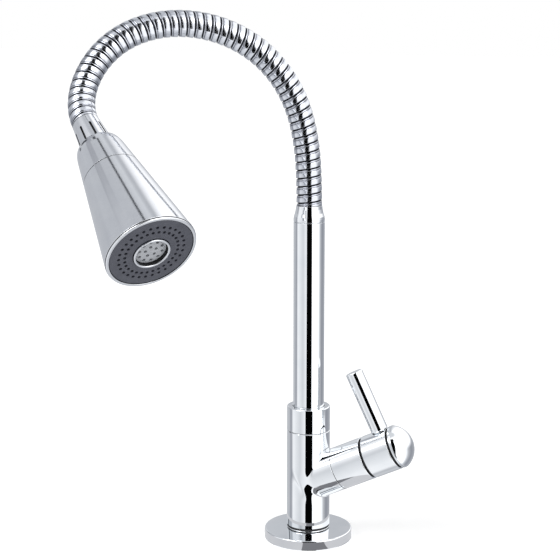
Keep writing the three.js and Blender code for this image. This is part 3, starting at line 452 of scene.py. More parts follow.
def make_column():
    """Column and branch of equal radius, flowing into each other, with their sockets."""
    steps = ROUND_STEPS
    half = steps // 4
    bm = bmesh.new()
    ups = (1 + math.sin(BARREL_RISE)) / math.cos(BARREL_RISE)
    downs = (1 - math.sin(BARREL_RISE)) / math.cos(BARREL_RISE)
    angles = [2 * math.pi * k / steps for k in range(steps)]

    def ring(radius, height):
        """Ring round the column, or its middle where it has no radius."""
        if not radius:
            return [bm.verts.new((0, 0, height * MM))] * steps
        return [bm.verts.new((radius * math.cos(a) * MM, radius * math.sin(a) * MM, height * MM))
                for a in angles]

    def crossing(slope, away):
        """Ring on the column where the branch leaves it, moved away from the crease."""
        verts = []
        for a in angles:
            height = BARREL_HEIGHT + slope * max(0, BODY_RADIUS * math.cos(a)) + away
            verts.append(bm.verts.new((
                BODY_RADIUS * math.cos(a) * MM, BODY_RADIUS * math.sin(a) * MM, height * MM)))
        return verts

    inner = BODY_RADIUS - COLUMN_EDGE
    low = [ring(0, WATERWAY_TOP), ring(BORE_RADIUS, WATERWAY_TOP), ring(BORE_RADIUS, COLUMN_FOOT),
           ring(inner, COLUMN_FOOT), ring(BODY_RADIUS, COLUMN_FOOT + COLUMN_EDGE),
           ring(BODY_RADIUS, COLUMN_FOOT + COLUMN_EDGE + 0.1),
           *(crossing(-downs, -away) for away in reversed(BLEND_ROWS))]
    high = [*(crossing(ups, away) for away in BLEND_ROWS),
            ring(BODY_RADIUS, COLUMN_TOP - COLUMN_EDGE - 0.05), ring(BODY_RADIUS, COLUMN_TOP - COLUMN_EDGE),
            ring(inner, COLUMN_TOP), ring(COLLAR_SOCKET_RADIUS, COLUMN_TOP),
            ring(COLLAR_SOCKET_RADIUS, COLLAR_SOCKET_FLOOR), ring(SWIVEL_SOCKET_RADIUS, COLLAR_SOCKET_FLOOR),
            ring(SWIVEL_SOCKET_RADIUS, SWIVEL_SOCKET_FLOOR), ring(0, SWIVEL_SOCKET_FLOOR)]
    for rings in (low, high):
        for below, above in zip(rings, rings[1:]):
            join_rings(bm, below, above)
    front = range(-half, half + 1)
    crease = [high[0][k] for k in front] + [low[-1][-k] for k in range(-half + 1, half)]
    spots = [angles[k % steps] for k in front]
    spots += [math.pi - angles[-k % steps] for k in range(-half + 1, half)]

    def branch_ring(radius, distance, share=1):
        """Ring round the branch, some share of the way from the crease to a distance along it."""
        if not radius:
            return [bm.verts.new(BARREL @ Vector((0, 0, distance * MM)))] * steps
        verts = []
        for a in spots:
            crease_distance = BODY_RADIUS * abs(math.cos(a)) * (ups if math.cos(a) > 0 else downs)
            along = crease_distance + (distance - crease_distance) * share
            away = Vector((0, 1, 0)) * math.sin(a) + BARREL_UP * math.cos(a)
            spot = BARREL.translation / MM + BARREL_ALONG * along + away * radius
            verts.append(bm.verts.new(spot * MM))
        return verts

    rows = 16
    crowding = 1.4
    branch = [crease]
    for j in range(1, rows + 1):
        branch.append(branch_ring(BODY_RADIUS, BRANCH_REACH - 0.2, (j / rows) ** crowding))
    branch += [branch_ring(BODY_RADIUS, BRANCH_REACH - 0.06), branch_ring(BODY_RADIUS - 0.06, BRANCH_REACH),
               branch_ring(BRANCH_BORE_RADIUS, BRANCH_REACH),
               branch_ring(BRANCH_BORE_RADIUS, BRANCH_BORE_FLOOR), branch_ring(0, BRANCH_BORE_FLOOR)]
    for below, above in zip(branch, branch[1:]):
        join_rings(bm, below, above)
    blended = [*low[-len(BLEND_ROWS):], *high[:len(BLEND_ROWS)], *branch[:rows]]
    for vert in {vert for verts in blended for vert in verts}:
        vert.co = on_blend(vert.co / MM) * MM
    return closed_object("column_and_branch", bm)


def blend_height(spot):
    """Height of a place in mm above the skin of the column flowing into the branch."""
    column = math.hypot(spot.x, spot.y) - BODY_RADIUS
    inside = spot - Vector((0, 0, BARREL_HEIGHT))
    distance = inside.dot(BARREL_ALONG)
    branch = (inside - BARREL_ALONG * distance).length - BODY_RADIUS
    if distance < 0:
        branch = math.hypot(max(branch, 0), distance)
    width = BLEND_WIDTH * max(BLEND_LEAST_SHARE, 1 - max(distance, 0) / BLEND_REACH)
    overlap = max(0, width - abs(column - branch))
    return min(column, branch) - overlap ** 3 / (6 * width * width)


def on_blend(spot):
    """Nearest place on that skin, found in a few steps down its slope."""
    step = 0.02
    axes = (Vector((1, 0, 0)), Vector((0, 1, 0)), Vector((0, 0, 1)))
    for _ in range(8):
        height = blend_height(spot)
        slope = Vector([(blend_height(spot + axis * step) - height) / step for axis in axes])
        spot = spot - slope * (height / max(slope.length_squared, 0.1))
    return spot


def base_pieces():
    """Pieces that stay with the deck."""
    rim_radius, rim_top = 28.5, 6.4
    groove_inside, groove_outside, groove_depth = 15.2, 23.8, 2.3
    boss_radius, boss_root, boss_top = 13.9, 7.4, COLUMN_FOOT - 1.2
    flange = turned("flange", [
        (BORE_RADIUS, 0), (groove_inside, 0), (groove_inside, groove_depth), (groove_outside, groove_depth),
        (groove_outside, 0), (rim_radius, 0, 0.15), (rim_radius, rim_top, 0.8), (boss_radius, boss_root, 0.1),
        (boss_radius, boss_top, 0.05), (BORE_RADIUS, boss_top)])
    foot_ring_radius, gap_ring_radius = 13.85, 12.9
    foot_ring = hoop(
        "foot_ring", BORE_RADIUS, foot_ring_radius, COLUMN_FOOT - 1.15, COLUMN_FOOT - 0.05, 0.1)
    collar_top, collar_foot = 89.2, COLUMN_TOP + FIT_GAP
    swivel_bore, thread_bore, ledge = RISER_RADIUS + FIT_GAP, 11.3, 78
    thread_radius, thread_foot = COLLAR_SOCKET_RADIUS - FIT_GAP, COLLAR_SOCKET_FLOOR + FIT_GAP
    collar = turned("collar_nut", [
        (swivel_bore, collar_top, 0.3), (BODY_RADIUS, collar_top, 0.8), (BODY_RADIUS, collar_foot, 0.2),
        (thread_radius, collar_foot), (thread_radius, thread_foot), (thread_bore, thread_foot),
        (thread_bore, ledge), (swivel_bore, ledge)])
    sleeve_radius, cartridge_radius, neck_radius = BRANCH_BORE_RADIUS - FIT_GAP, 10.8, 7
    sleeve_start, shoulder = BRANCH_REACH - 6.7, BRANCH_REACH + 0.4
    cartridge_end = HOUSING_END - 4.7
    housing = turned("valve_housing", [
        (cartridge_radius, sleeve_start), (sleeve_radius, sleeve_start), (sleeve_radius, shoulder),
        (BODY_RADIUS, shoulder, 0.06), (BODY_RADIUS, HOUSING_END, 0.4), (neck_radius, HOUSING_END),
        (neck_radius, cartridge_end), (cartridge_radius, cartridge_end)], BARREL)
    gap_ring = hoop(
        "barrel_gap_seal", neck_radius, gap_ring_radius, HOUSING_END + FIT_GAP, HOUSING_END + FIT_GAP + 1,
        0.2, BARREL)
    column = make_column()
    for piece, node in ((flange, "deck_flange"), (foot_ring, "body_foot_ring"), (collar, "swivel_collar"),
                        (housing, "cartridge_housing"), (gap_ring, "barrel_gap_ring"), (column, "tap_body")):
        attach(stand_for(piece, node), "base")
    # Painted shade in the gap under the collar nut and behind the valve housing's shoulder
    paint_shade(collar, Matrix(), lambda radius, height: radius < BODY_RADIUS - 0.5 and height < COLUMN_TOP + 1)
    paint_shade(housing, BARREL, lambda radius, height: radius < BODY_RADIUS - 1 and height < BRANCH_REACH + 1)


def lever_pieces():
    """Pieces that turn with the lever."""
    socket_radius, well_radius = 7, 6
    web_start, web_end = 48, 53
    hub = turned("turning_hub", [
        (socket_radius, HUB_START), (BODY_RADIUS, HUB_START, 0.4), (BODY_RADIUS, HUB_END, 0.4),
        (well_radius, HUB_END), (well_radius, web_end), (SPINDLE_HOLE_RADIUS, web_end),
        (SPINDLE_HOLE_RADIUS, web_start), (socket_radius, web_start)], BARREL)
    seal_bore, seal_radius = 6.3, 13.2
    seal = hoop(
        "cap_gap_seal", seal_bore, seal_radius, HUB_END + FIT_GAP, HUB_END + FIT_GAP + 1, 0.2, BARREL)

    # The cap: a turned line, a tight edge, then a crown of one radius
    edge_start, edge_radius, edge_turn = CAP_START + 1.2, 1.6, math.radians(26)
    line_depth, line_height = 0.4, 0.3
    crown_radius = (BODY_RADIUS - edge_radius * (1 - math.cos(edge_turn))) / math.cos(edge_turn)
    crown_centre = edge_start - (crown_radius - edge_radius) * math.sin(edge_turn)
    edge_steps, crown_steps = 8, 24
    dome = []
    for k in range(edge_steps + 1):
        turn = edge_turn * k / edge_steps
        radius = BODY_RADIUS - edge_radius * (1 - math.cos(turn))
        dome.append((radius, edge_start + edge_radius * math.sin(turn)))
    for k in range(1, crown_steps):
        turn = edge_turn + (math.pi / 2 - edge_turn) * k / crown_steps
        dome.append((crown_radius * math.cos(turn), crown_centre + crown_radius * math.sin(turn)))
    spigot_radius, spigot_end = 5.7, CAP_START - 6.6
    line_radius, line_start = BODY_RADIUS - line_depth, edge_start - line_height
    cap = turned("domed_cap", [
        (0, CAP_START), (SPINDLE_HOLE_RADIUS, CAP_START), (SPINDLE_HOLE_RADIUS, spigot_end),
        (spigot_radius, spigot_end), (spigot_radius, CAP_START), (BODY_RADIUS, CAP_START, 0.2),
        (BODY_RADIUS, line_start - 0.05), (line_radius, line_start), (line_radius, edge_start), *dome,
        (0, crown_centre + crown_radius)], BARREL)

    # Painted shade in the cap's turned line
    def in_line(radius, height):
        return 13 < radius < line_radius + 0.15 and line_start - 0.04 < height < edge_start
    paint_shade(cap, BARREL, in_line)
    pin_radius, pin_start, rod_start = 4.4, 11.5, 14.1
    rod = turned("lever", [
        (0, pin_start), (pin_radius, pin_start), (pin_radius, rod_start), (LEVER_RADIUS - 0.3, rod_start),
        (LEVER_RADIUS, rod_start + 0.3), (LEVER_RADIUS, LEVER_REACH, 0.9), (0, LEVER_REACH)], LEVER, 96)
    for piece, node in ((hub, "lever_hub"), (seal, "hub_cap_ring"), (cap, "hub_cap"), (rod, "lever_rod")):
        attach(stand_for(piece, node), "lever")


# Riser and hose

def riser_pieces():
    """Tube that swivels in the collar, and the bell that the hose stands in."""
    tube_start, tube_end = 75.7, 209.8
    tube = turned("riser", [
        (RISER_BORE_RADIUS, tube_start), (RISER_RADIUS, tube_start, 0.2), (RISER_RADIUS, tube_end, 0.15),
        (RISER_BORE_RADIUS, tube_end)])
    spigot_radius, spigot_start = RISER_BORE_RADIUS - FIT_GAP, 199.3
    bell_foot, bell_top = tube_end + FIT_GAP, HOSE_START - FIT_GAP
    socket_floor = bell_top - HOSE_SOCKET_DEPTH
    bell = turned("bell_ferrule", [
        (LINER_RADIUS, spigot_start), (spigot_radius, spigot_start), (spigot_radius, bell_foot),
        (RISER_RADIUS, bell_foot, 0.15), (RISER_RADIUS, bell_foot + 1.6, 0.5), (9.75, bell_foot + 3.2, 2),
        (9.05, bell_foot + 5.4, 3), (8.55, bell_foot + 8, 2), (8.3, bell_top, 0.15),
        (HOSE_SOCKET_RADIUS, bell_top), (HOSE_SOCKET_RADIUS, socket_floor), (LINER_RADIUS, socket_floor)])
    for piece, node in ((tube, "riser_tube"), (bell, "hose_ferrule")):
        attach(stand_for(piece, node), "spout")


def link_step(index, distance):
    """Frame at a distance along a link, from the link's own start, in millimetres."""
    in_plane = math.radians(IN_PLANE_BENDS[index])
    sideways = math.radians(SIDEWAYS_BENDS[index])
    angle = math.hypot(in_plane, sideways)
    heading = math.atan2(sideways, in_plane)
    on_arc = min(max(distance, 0), LINK_LENGTH)
    turned_by = angle * on_arc / LINK_LENGTH
    bend_radius = LINK_LENGTH / angle
    towards = Vector((math.cos(heading), math.sin(heading), 0))
    axis = Vector((-math.sin(heading), math.cos(heading), 0))
    turn = Matrix.Rotation(turned_by, 4, axis)
    place = towards * bend_radius * (1 - math.cos(turned_by))
    place.z = bend_radius * math.sin(turned_by)
    place += turn.to_3x3() @ Vector((0, 0, distance - on_arc))
    return Matrix.Translation(place) @ turn


def link_starts():
    """Frame of each link's start in millimetres, and of the hose's end."""
    start = Matrix.Translation((0, 0, HOSE_START)) @ Matrix.Rotation(SPOUT_AZIMUTH, 4, "Z")
    starts = [start]
    for index in range(LINK_COUNT):
        starts.append(starts[-1] @ link_step(index, LINK_LENGTH))
    return starts


# The centreline runs on straight by the lead-in, past both ends of the hose
LEAD_IN = 12
LINKS = link_starts()
HEAD = Matrix.Translation(LINKS[-1].translation * MM) @ LINKS[-1].to_3x3().to_4x4()


def hose_centreline():
    """The hose's centreline as a chain of edges, run straight past both ends."""
    samples = 24
    spots = [LINKS[0] @ Vector((0, 0, -LEAD_IN))]
    for index in range(LINK_COUNT):
        for k in range(samples):
            spots.append((LINKS[index] @ link_step(index, LINK_LENGTH * k / samples)).translation)
    spots += [LINKS[-1].translation, LINKS[-1] @ Vector((0, 0, LEAD_IN))]
    edges = [(k, k + 1) for k in range(len(spots) - 1)]
    return drawn("hose_centreline", [spot * MM for spot in spots], edges, [])


def geometry_tree(name, *inputs):
    """A geometry tree with named inputs; returns the tree and its input node."""
    tree = bpy.data.node_groups.new(name, "GeometryNodeTree")
    tree.interface.new_socket("Geometry", in_out="INPUT", socket_type="NodeSocketGeometry")
    for label, kind in inputs:
        tree.interface.new_socket(label, in_out="INPUT", socket_type="NodeSocket" + kind)
    tree.interface.new_socket("Geometry", in_out="OUTPUT", socket_type="NodeSocketGeometry")
    return tree, add(tree, "NodeGroupInput").outputs


def end_tree(tree, geometry, material):
    """Realizes the instances, gives them their finish and ends the tree."""
    solid = add(tree, "GeometryNodeRealizeInstances", {"Geometry": geometry})
    dressed = add(tree, "GeometryNodeSetMaterial", {"Geometry": solid.outputs[0], "Material": material})
    add(tree, "NodeGroupOutput", {"Geometry": dressed.outputs[0]})


def grow(name, source, tree, values):
    """Runs a tree on a source object and keeps the result as a plain mesh."""
    modifier = source.modifiers.new("grow", "NODES")
    modifier.node_group = tree
    for item in tree.interface.items_tree:
        if item.in_out == "INPUT" and item.name in values:
            modifier[item.identifier] = values[item.name]
    source.update_tag()
    depsgraph = bpy.context.evaluated_depsgraph_get()
    mesh = bpy.data.meshes.new_from_object(source.evaluated_get(depsgraph))
    mesh.name = name
    source.modifiers.remove(modifier)
    return place_mesh(name, mesh)


def math_node(tree, operation, a, b=0.0):
    """Arithmetic on two values or outputs; a sine, cosine or arcsine takes only the first."""
    return add(tree, "ShaderNodeMath", {0: a, 1: b}, operation=operation).outputs[0]


# Section of the wound strip, as shares of the pitch along the hose and millimetres below its crest:
# leading lip, flat band, fine rolled groove, bead, the drop into the seam, the tongue under the next
# lip, and the way back
STRIP_SECTION = (
    (0.0, 0.85), (0.0, 0.45), (0.008, 0.2), (0.025, 0.05), (0.05, 0.0), (0.12, 0.0), (0.32, 0.01),
    (0.5, 0.07), (0.6, 0.15), (0.635, 0.24), (0.65, 0.42), (0.665, 0.32), (0.69, 0.22), (0.73, 0.18),
    (0.78, 0.23), (0.82, 0.3), (0.855, 0.42), (0.872, 0.65), (0.878, 1.0), (1.03, 1.05), (1.03, 1.25),
    (0.75, 1.3), (0.25, 1.3), (-0.02, 1.2), (0.0, 0.85))


def strip_tree():
    """Winds a strip round a centreline: the grid's X runs round the turns, its Y across the strip."""
    tree, given = geometry_tree(
        "wound_strip_tree", ("Start", "Float"), ("Turns", "Float"), ("Steps", "Int"), ("Pitch", "Float"),
        ("Radius", "Float"), ("Finish", "Material"))
    curve = add(tree, "GeometryNodeMeshToCurve", {"Mesh": given["Geometry"]}).outputs[0]
    grid = add(tree, "GeometryNodeMeshGrid", {
        "Size X": 1.0, "Size Y": 1.0, "Vertices X": given["Steps"], "Vertices Y": len(STRIP_SECTION)})
    uv = grid.outputs["UV Map"]
    parts = add(tree, "ShaderNodeSeparateXYZ", {"Vector": uv}).outputs
    turn = math_node(tree, "MULTIPLY", parts["X"], given["Turns"])
    along, below = [], []
    for column, scale in ((0, 1), (1, MM)):
        curve_node = add(tree, "ShaderNodeFloatCurve", {"Value": parts["Y"]})
        low = min(point[column] for point in STRIP_SECTION)
        high = max(point[column] for point in STRIP_SECTION)
        points = curve_node.mapping.curves[0].points
        last = len(STRIP_SECTION) - 1
        for k, point in enumerate(STRIP_SECTION):
            spot = (k / last, (point[column] - low) / (high - low))
            if k in (0, last):
                points[0 if k == 0 else -1].location = spot
            else:
                points.new(*spot)
        for point in points:
            point.handle_type = "VECTOR"
        curve_node.mapping.update()
        ranged = add(tree, "ShaderNodeMapRange", {
            "Value": curve_node.outputs[0], "To Min": low * scale, "To Max": high * scale})
        (along if column == 0 else below).append(ranged.outputs["Result"])
    turns_done = math_node(tree, "ADD", turn, along[0])
    length = math_node(tree, "ADD", math_node(tree, "MULTIPLY", turns_done, given["Pitch"]), given["Start"])
    started = math_node(tree, "DIVIDE", given["Start"], given["Pitch"])
    angle = math_node(tree, "MULTIPLY", math_node(tree, "ADD", started, turn), 2 * math.pi)
    sample = add(tree, "GeometryNodeSampleCurve", {"Length": length}, mode="LENGTH")
    tree.links.new(curve, sample.inputs["Curves"])
    radius = math_node(tree, "SUBTRACT", given["Radius"], below[0])
    tangent, normal = sample.outputs["Tangent"], sample.outputs["Normal"]
    binormal = add(tree, "ShaderNodeVectorMath", {0: tangent, 1: normal}, operation="CROSS_PRODUCT")
    place = sample.outputs["Position"]
    for direction, wave in ((normal, "COSINE"), (binormal.outputs[0], "SINE")):
        share = math_node(tree, "MULTIPLY", math_node(tree, wave, angle), radius)
        moved = add(tree, "ShaderNodeVectorMath", {0: direction, "Scale": share}, operation="SCALE")
        place = add(tree, "ShaderNodeVectorMath", {0: place, 1: moved.outputs[0]}).outputs[0]
    shaped = add(tree, "GeometryNodeSetPosition", {"Geometry": grid.outputs["Mesh"], "Position": place})
    named = add(tree, "GeometryNodeStoreNamedAttribute", {"Geometry": shaped.outputs[0], "Name": "UVMap"},
                data_type="FLOAT2", domain="CORNER")
    tree.links.new(uv, named.inputs["Value"])
    merged = add(tree, "GeometryNodeMergeByDistance", {"Geometry": named.outputs[0], "Distance": 1e-7})
    end_tree(tree, merged.outputs[0], given["Finish"])
    return tree


def close_ends(piece, cuts):
    """Cuts the strip flat at given (place, direction out) planes, and closes every open end."""
    bm = bmesh.new()
    bm.from_mesh(piece.data)
    for place, outwards in cuts:
        everything = bm.verts[:] + bm.edges[:] + bm.faces[:]
        bmesh.ops.bisect_plane(bm, geom=everything, plane_co=place, plane_no=outwards, clear_outer=True)
    open_edges = [edge for edge in bm.edges if edge.is_boundary]
    if cuts:
        bmesh.ops.triangle_fill(bm, edges=open_edges, use_dissolve=False)
    else:
        bmesh.ops.holes_fill(bm, edges=open_edges)
    close_mesh(bm, piece.data)


def hose_pieces():
    """Nine lengths of winding, each from the middle of a link to the next, across one joint."""
    centreline = hose_centreline()
    tree = strip_tree()
    steps_per_turn = 64
    first_turn, last_turn = -1.2, LINK_COUNT * TURNS_PER_LINK + 0.2
    for joint in range(1, LINK_COUNT):
        first = first_turn if joint == 1 else (joint - 0.5) * TURNS_PER_LINK - 0.5
        last = last_turn if joint == LINK_COUNT - 1 else (joint + 0.5) * TURNS_PER_LINK - 0.5
        piece = grow(f"hose_winding_{joint}", centreline, tree, {
            "Start": (LEAD_IN + first * PITCH) * MM,
            "Turns": float(last - first),
            "Steps": round((last - first) * steps_per_turn) + 1,
            "Pitch": PITCH * MM,
            "Radius": HOSE_RADIUS * MM,
            "Finish": wound_strip,
        })
        cuts = []
        if joint == 1:
            cuts.append((LINKS[0].translation * MM, -LINKS[0].col[2].xyz))
        if joint == LINK_COUNT - 1:
            cuts.append((LINKS[-1].translation * MM, LINKS[-1].col[2].xyz))
        close_ends(piece, cuts)
        nodes = [f"hose_link_{joint:02d}"]
        if joint == LINK_COUNT - 1:
            nodes.append(f"hose_link_{joint + 1:02d}")
        stand_for(piece, *nodes)
        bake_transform(piece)
    bpy.data.objects.remove(centreline)


# Collar and spray head

def round_points(tree, count, radius, offset_share, height=0.0):
    """Points on a circle round Z, and the angle of each; the first lies a share of a step on."""
    points = add(tree, "GeometryNodePoints", {"Count": count}).outputs[0]
    index = add(tree, "GeometryNodeInputIndex").outputs[0]
    step = math_node(tree, "DIVIDE", 2 * math.pi, count)
    angle = math_node(tree, "MULTIPLY", math_node(tree, "ADD", index, offset_share), step)
    spot = add(tree, "ShaderNodeCombineXYZ", {
        "X": math_node(tree, "MULTIPLY", math_node(tree, "COSINE", angle), radius),
        "Y": math_node(tree, "MULTIPLY", math_node(tree, "SINE", angle), radius),
        "Z": height}).outputs[0]
    return add(tree, "GeometryNodeSetPosition", {"Geometry": points, "Position": spot}).outputs[0], angle


def repeat_tree():
    """Copies a piece round Z: count, radius of the circle and the share of a step it starts at."""
    tree, given = geometry_tree(
        "repeat_round_tree", ("Count", "Int"), ("Circle Radius", "Float"), ("Offset Share", "Float"),
        ("Finish", "Material"))
    placed, angle = round_points(tree, given["Count"], given["Circle Radius"], given["Offset Share"])
    turn = add(tree, "ShaderNodeCombineXYZ", {"Z": angle}).outputs[0]
    copies = add(tree, "GeometryNodeInstanceOnPoints", {
        "Points": placed, "Instance": given["Geometry"], "Rotation": turn}).outputs[0]
    solid = add(tree, "GeometryNodeRealizeInstances", {"Geometry": copies}).outputs[0]
    merged = add(tree, "GeometryNodeMergeByDistance", {"Geometry": solid, "Distance": 1e-6}).outputs[0]
    end_tree(tree, merged, given["Finish"])
    return tree


# Slots of the collar, and its spigot, on which the head turns
SLOT_HALF_WIDTH = 0.65
SLOT_START = 7
SLOT_END = 18.8
SLOT_DEPTH = 1.2
SLOT_COUNT = 9
SLOT_OFFSET_SHARE = 0.71
COLLAR_SPIGOT_RADIUS = 7.4
COLLAR_SPIGOT_START = 23.3
COLLAR_SPIGOT_END = 35.3


def collar_skin(distance):
    """Radius of the collar's tapering skin at a distance along the head."""
    share = (distance - FIT_GAP) / (COLLAR_VISIBLE - FIT_GAP)
    return HOSE_RADIUS + (COLLAR_WIDE_RADIUS - HOSE_RADIUS) * share


def collar_sector():
    """One ninth of the slotted collar, with its slot pushed in and the slot's rim eased."""
    half_sector = math.pi / SLOT_COUNT
    across_shares = (-1, -0.85, -0.6, 0, 0.6, 0.85, 1)
    beside_shares = (0.3, 0.65, 1)
    across = range(len(beside_shares), len(beside_shares) + len(across_shares))
    slot_first, slot_last = SLOT_START + SLOT_HALF_WIDTH, SLOT_END - SLOT_HALF_WIDTH
    skin_rows = [0.45, 1, 3, 5.5, slot_first, 10, 13, 16, slot_last, 19.4, COLLAR_VISIBLE]
    socket_floor = FIT_GAP + HOSE_SOCKET_DEPTH
    rows = [(collar_skin(height), height) for height in skin_rows]
    rows += [(COLLAR_WIDE_RADIUS, COLLAR_SPIGOT_START), (COLLAR_SPIGOT_RADIUS, COLLAR_SPIGOT_START)]
    o_ring_groove, clip_groove = (6.3, 25.85, 27.35), (6.5, 29.6, 31.6)
    for groove_radius, groove_start, groove_end in (o_ring_groove, clip_groove):
        rows += [(COLLAR_SPIGOT_RADIUS, groove_start), (groove_radius, groove_start),
                 (groove_radius, groove_end), (COLLAR_SPIGOT_RADIUS, groove_end)]
    rows += [(COLLAR_SPIGOT_RADIUS, COLLAR_SPIGOT_END), (LINER_RADIUS, COLLAR_SPIGOT_END),
             (LINER_RADIUS, socket_floor), (HOSE_SOCKET_RADIUS, socket_floor),
             (HOSE_SOCKET_RADIUS, FIT_GAP), (HOSE_RADIUS - 0.15, FIT_GAP)]
    bm = bmesh.new()
    grid = []
    for radius, height in rows:
        row = []
        edge = SLOT_HALF_WIDTH / radius
        turns = [-edge - (half_sector - edge) * share for share in reversed(beside_shares)]
        turns += [edge * share for share in across_shares]
        turns += [edge + (half_sector - edge) * share for share in beside_shares]
        for k, angle in enumerate(turns):
            offset = abs(angle) * radius
            lift = 0
            if offset < SLOT_HALF_WIDTH and k in across:
                lift = math.sqrt(SLOT_HALF_WIDTH ** 2 - offset ** 2)
            here, size = height, radius
            if height in (slot_first, slot_last):
                here += lift if height == slot_last else -lift
                size = collar_skin(here)
            row.append(bm.verts.new(
                Vector((size * math.cos(angle), size * math.sin(angle), here)) * MM))
        grid.append(row)
    slot_faces = []
    first, last = skin_rows.index(slot_first), skin_rows.index(slot_last)
    for r, row in enumerate(grid):
        beyond = grid[(r + 1) % len(grid)]
        for k in range(len(row) - 1):
            face = bm.faces.new((row[k], row[k + 1], beyond[k + 1], beyond[k]))
            if first <= r < last and k in across[:-1]:
                slot_faces.append(face)
    bmesh.ops.inset_region(bm, faces=slot_faces, thickness=0.1 * MM, depth=-0.05 * MM)
    for depth in (0.2, SLOT_DEPTH - 0.2):
        pushed = bmesh.ops.extrude_face_region(bm, geom=slot_faces)["geom"]
        bmesh.ops.delete(bm, geom=slot_faces, context="FACES")
        slot_faces = [item for item in pushed if isinstance(item, bmesh.types.BMFace)]
        for vert in {corner for face in slot_faces for corner in face.verts}:
            outwards = Vector((vert.co.x, vert.co.y, 0)).normalized()
            vert.co -= outwards * depth * MM
    mesh = bpy.data.meshes.new("collar_sector")
    bm.to_mesh(mesh)
    bm.free()
    return place_mesh("collar_sector", mesh)


def settle(piece, place):
    """Puts a grown piece in its place, with its faces outwards and its shading set."""
    bm = bmesh.new()
    bm.from_mesh(piece.data)
    bm.transform(place)
    bmesh.ops.remove_doubles(bm, verts=bm.verts, dist=WELD_DISTANCE)
    close_mesh(bm, piece.data)
    return piece


def slotted_collar(tree):
    """The collar at the end of the hose, with painted shade in the depth of its slots."""
    source = collar_sector()
    piece = grow("slotted_collar", source, tree, {
        "Count": SLOT_COUNT, "Circle Radius": 0.0, "Offset Share": SLOT_OFFSET_SHARE, "Finish": satin_chrome})
    bpy.data.objects.remove(source)
    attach(stand_for(settle(piece, HEAD), "head_collar"), "hose_10")

    # Painted shade on the walls and floors of the slots
    def deep(radius, height):
        return SLOT_START < height < SLOT_END and 6.5 < radius < collar_skin(height) - 0.3
    paint_shade(piece, HEAD, deep)


def drill_tree():
    """Drills two rings of round holes through a plate."""
    tree, given = geometry_tree(
        "drilled_plate_tree", *((f"{label} {ring}", kind) for ring in ("A", "B") for label, kind in (
            ("Count", "Int"), ("Circle Radius", "Float"), ("Offset Share", "Float"))),
        ("Hole Radius", "Float"), ("Middle", "Float"), ("Depth", "Float"), ("Finish", "Material"))
    drill = add(tree, "GeometryNodeMeshCylinder", {
        "Vertices": 20, "Radius": given["Hole Radius"], "Depth": given["Depth"]}).outputs["Mesh"]
    drills = add(tree, "GeometryNodeJoinGeometry")
    for ring in ("A", "B"):
        placed, _ = round_points(tree, given[f"Count {ring}"], given[f"Circle Radius {ring}"],
                                 given[f"Offset Share {ring}"], given["Middle"])
        copies = add(tree, "GeometryNodeInstanceOnPoints", {"Points": placed, "Instance": drill}).outputs[0]
        tree.links.new(copies, drills.inputs[0])
    solid = add(tree, "GeometryNodeRealizeInstances", {"Geometry": drills.outputs[0]}).outputs[0]
    drilled = add(tree, "GeometryNodeMeshBoolean", operation="DIFFERENCE", solver="EXACT")
    tree.links.new(given["Geometry"], drilled.inputs["Mesh 1"])
    tree.links.new(solid, drilled.inputs["Mesh 2"])
    end_tree(tree, drilled.outputs["Mesh"], given["Finish"])
    return tree


def cone_radius(distance):
    """Radius of the head's cone at a distance along the head."""
    share = (distance - CONE_START) / (CONE_END - CONE_START)
    return CONE_START_RADIUS + (CONE_END_RADIUS - CONE_START_RADIUS) * share


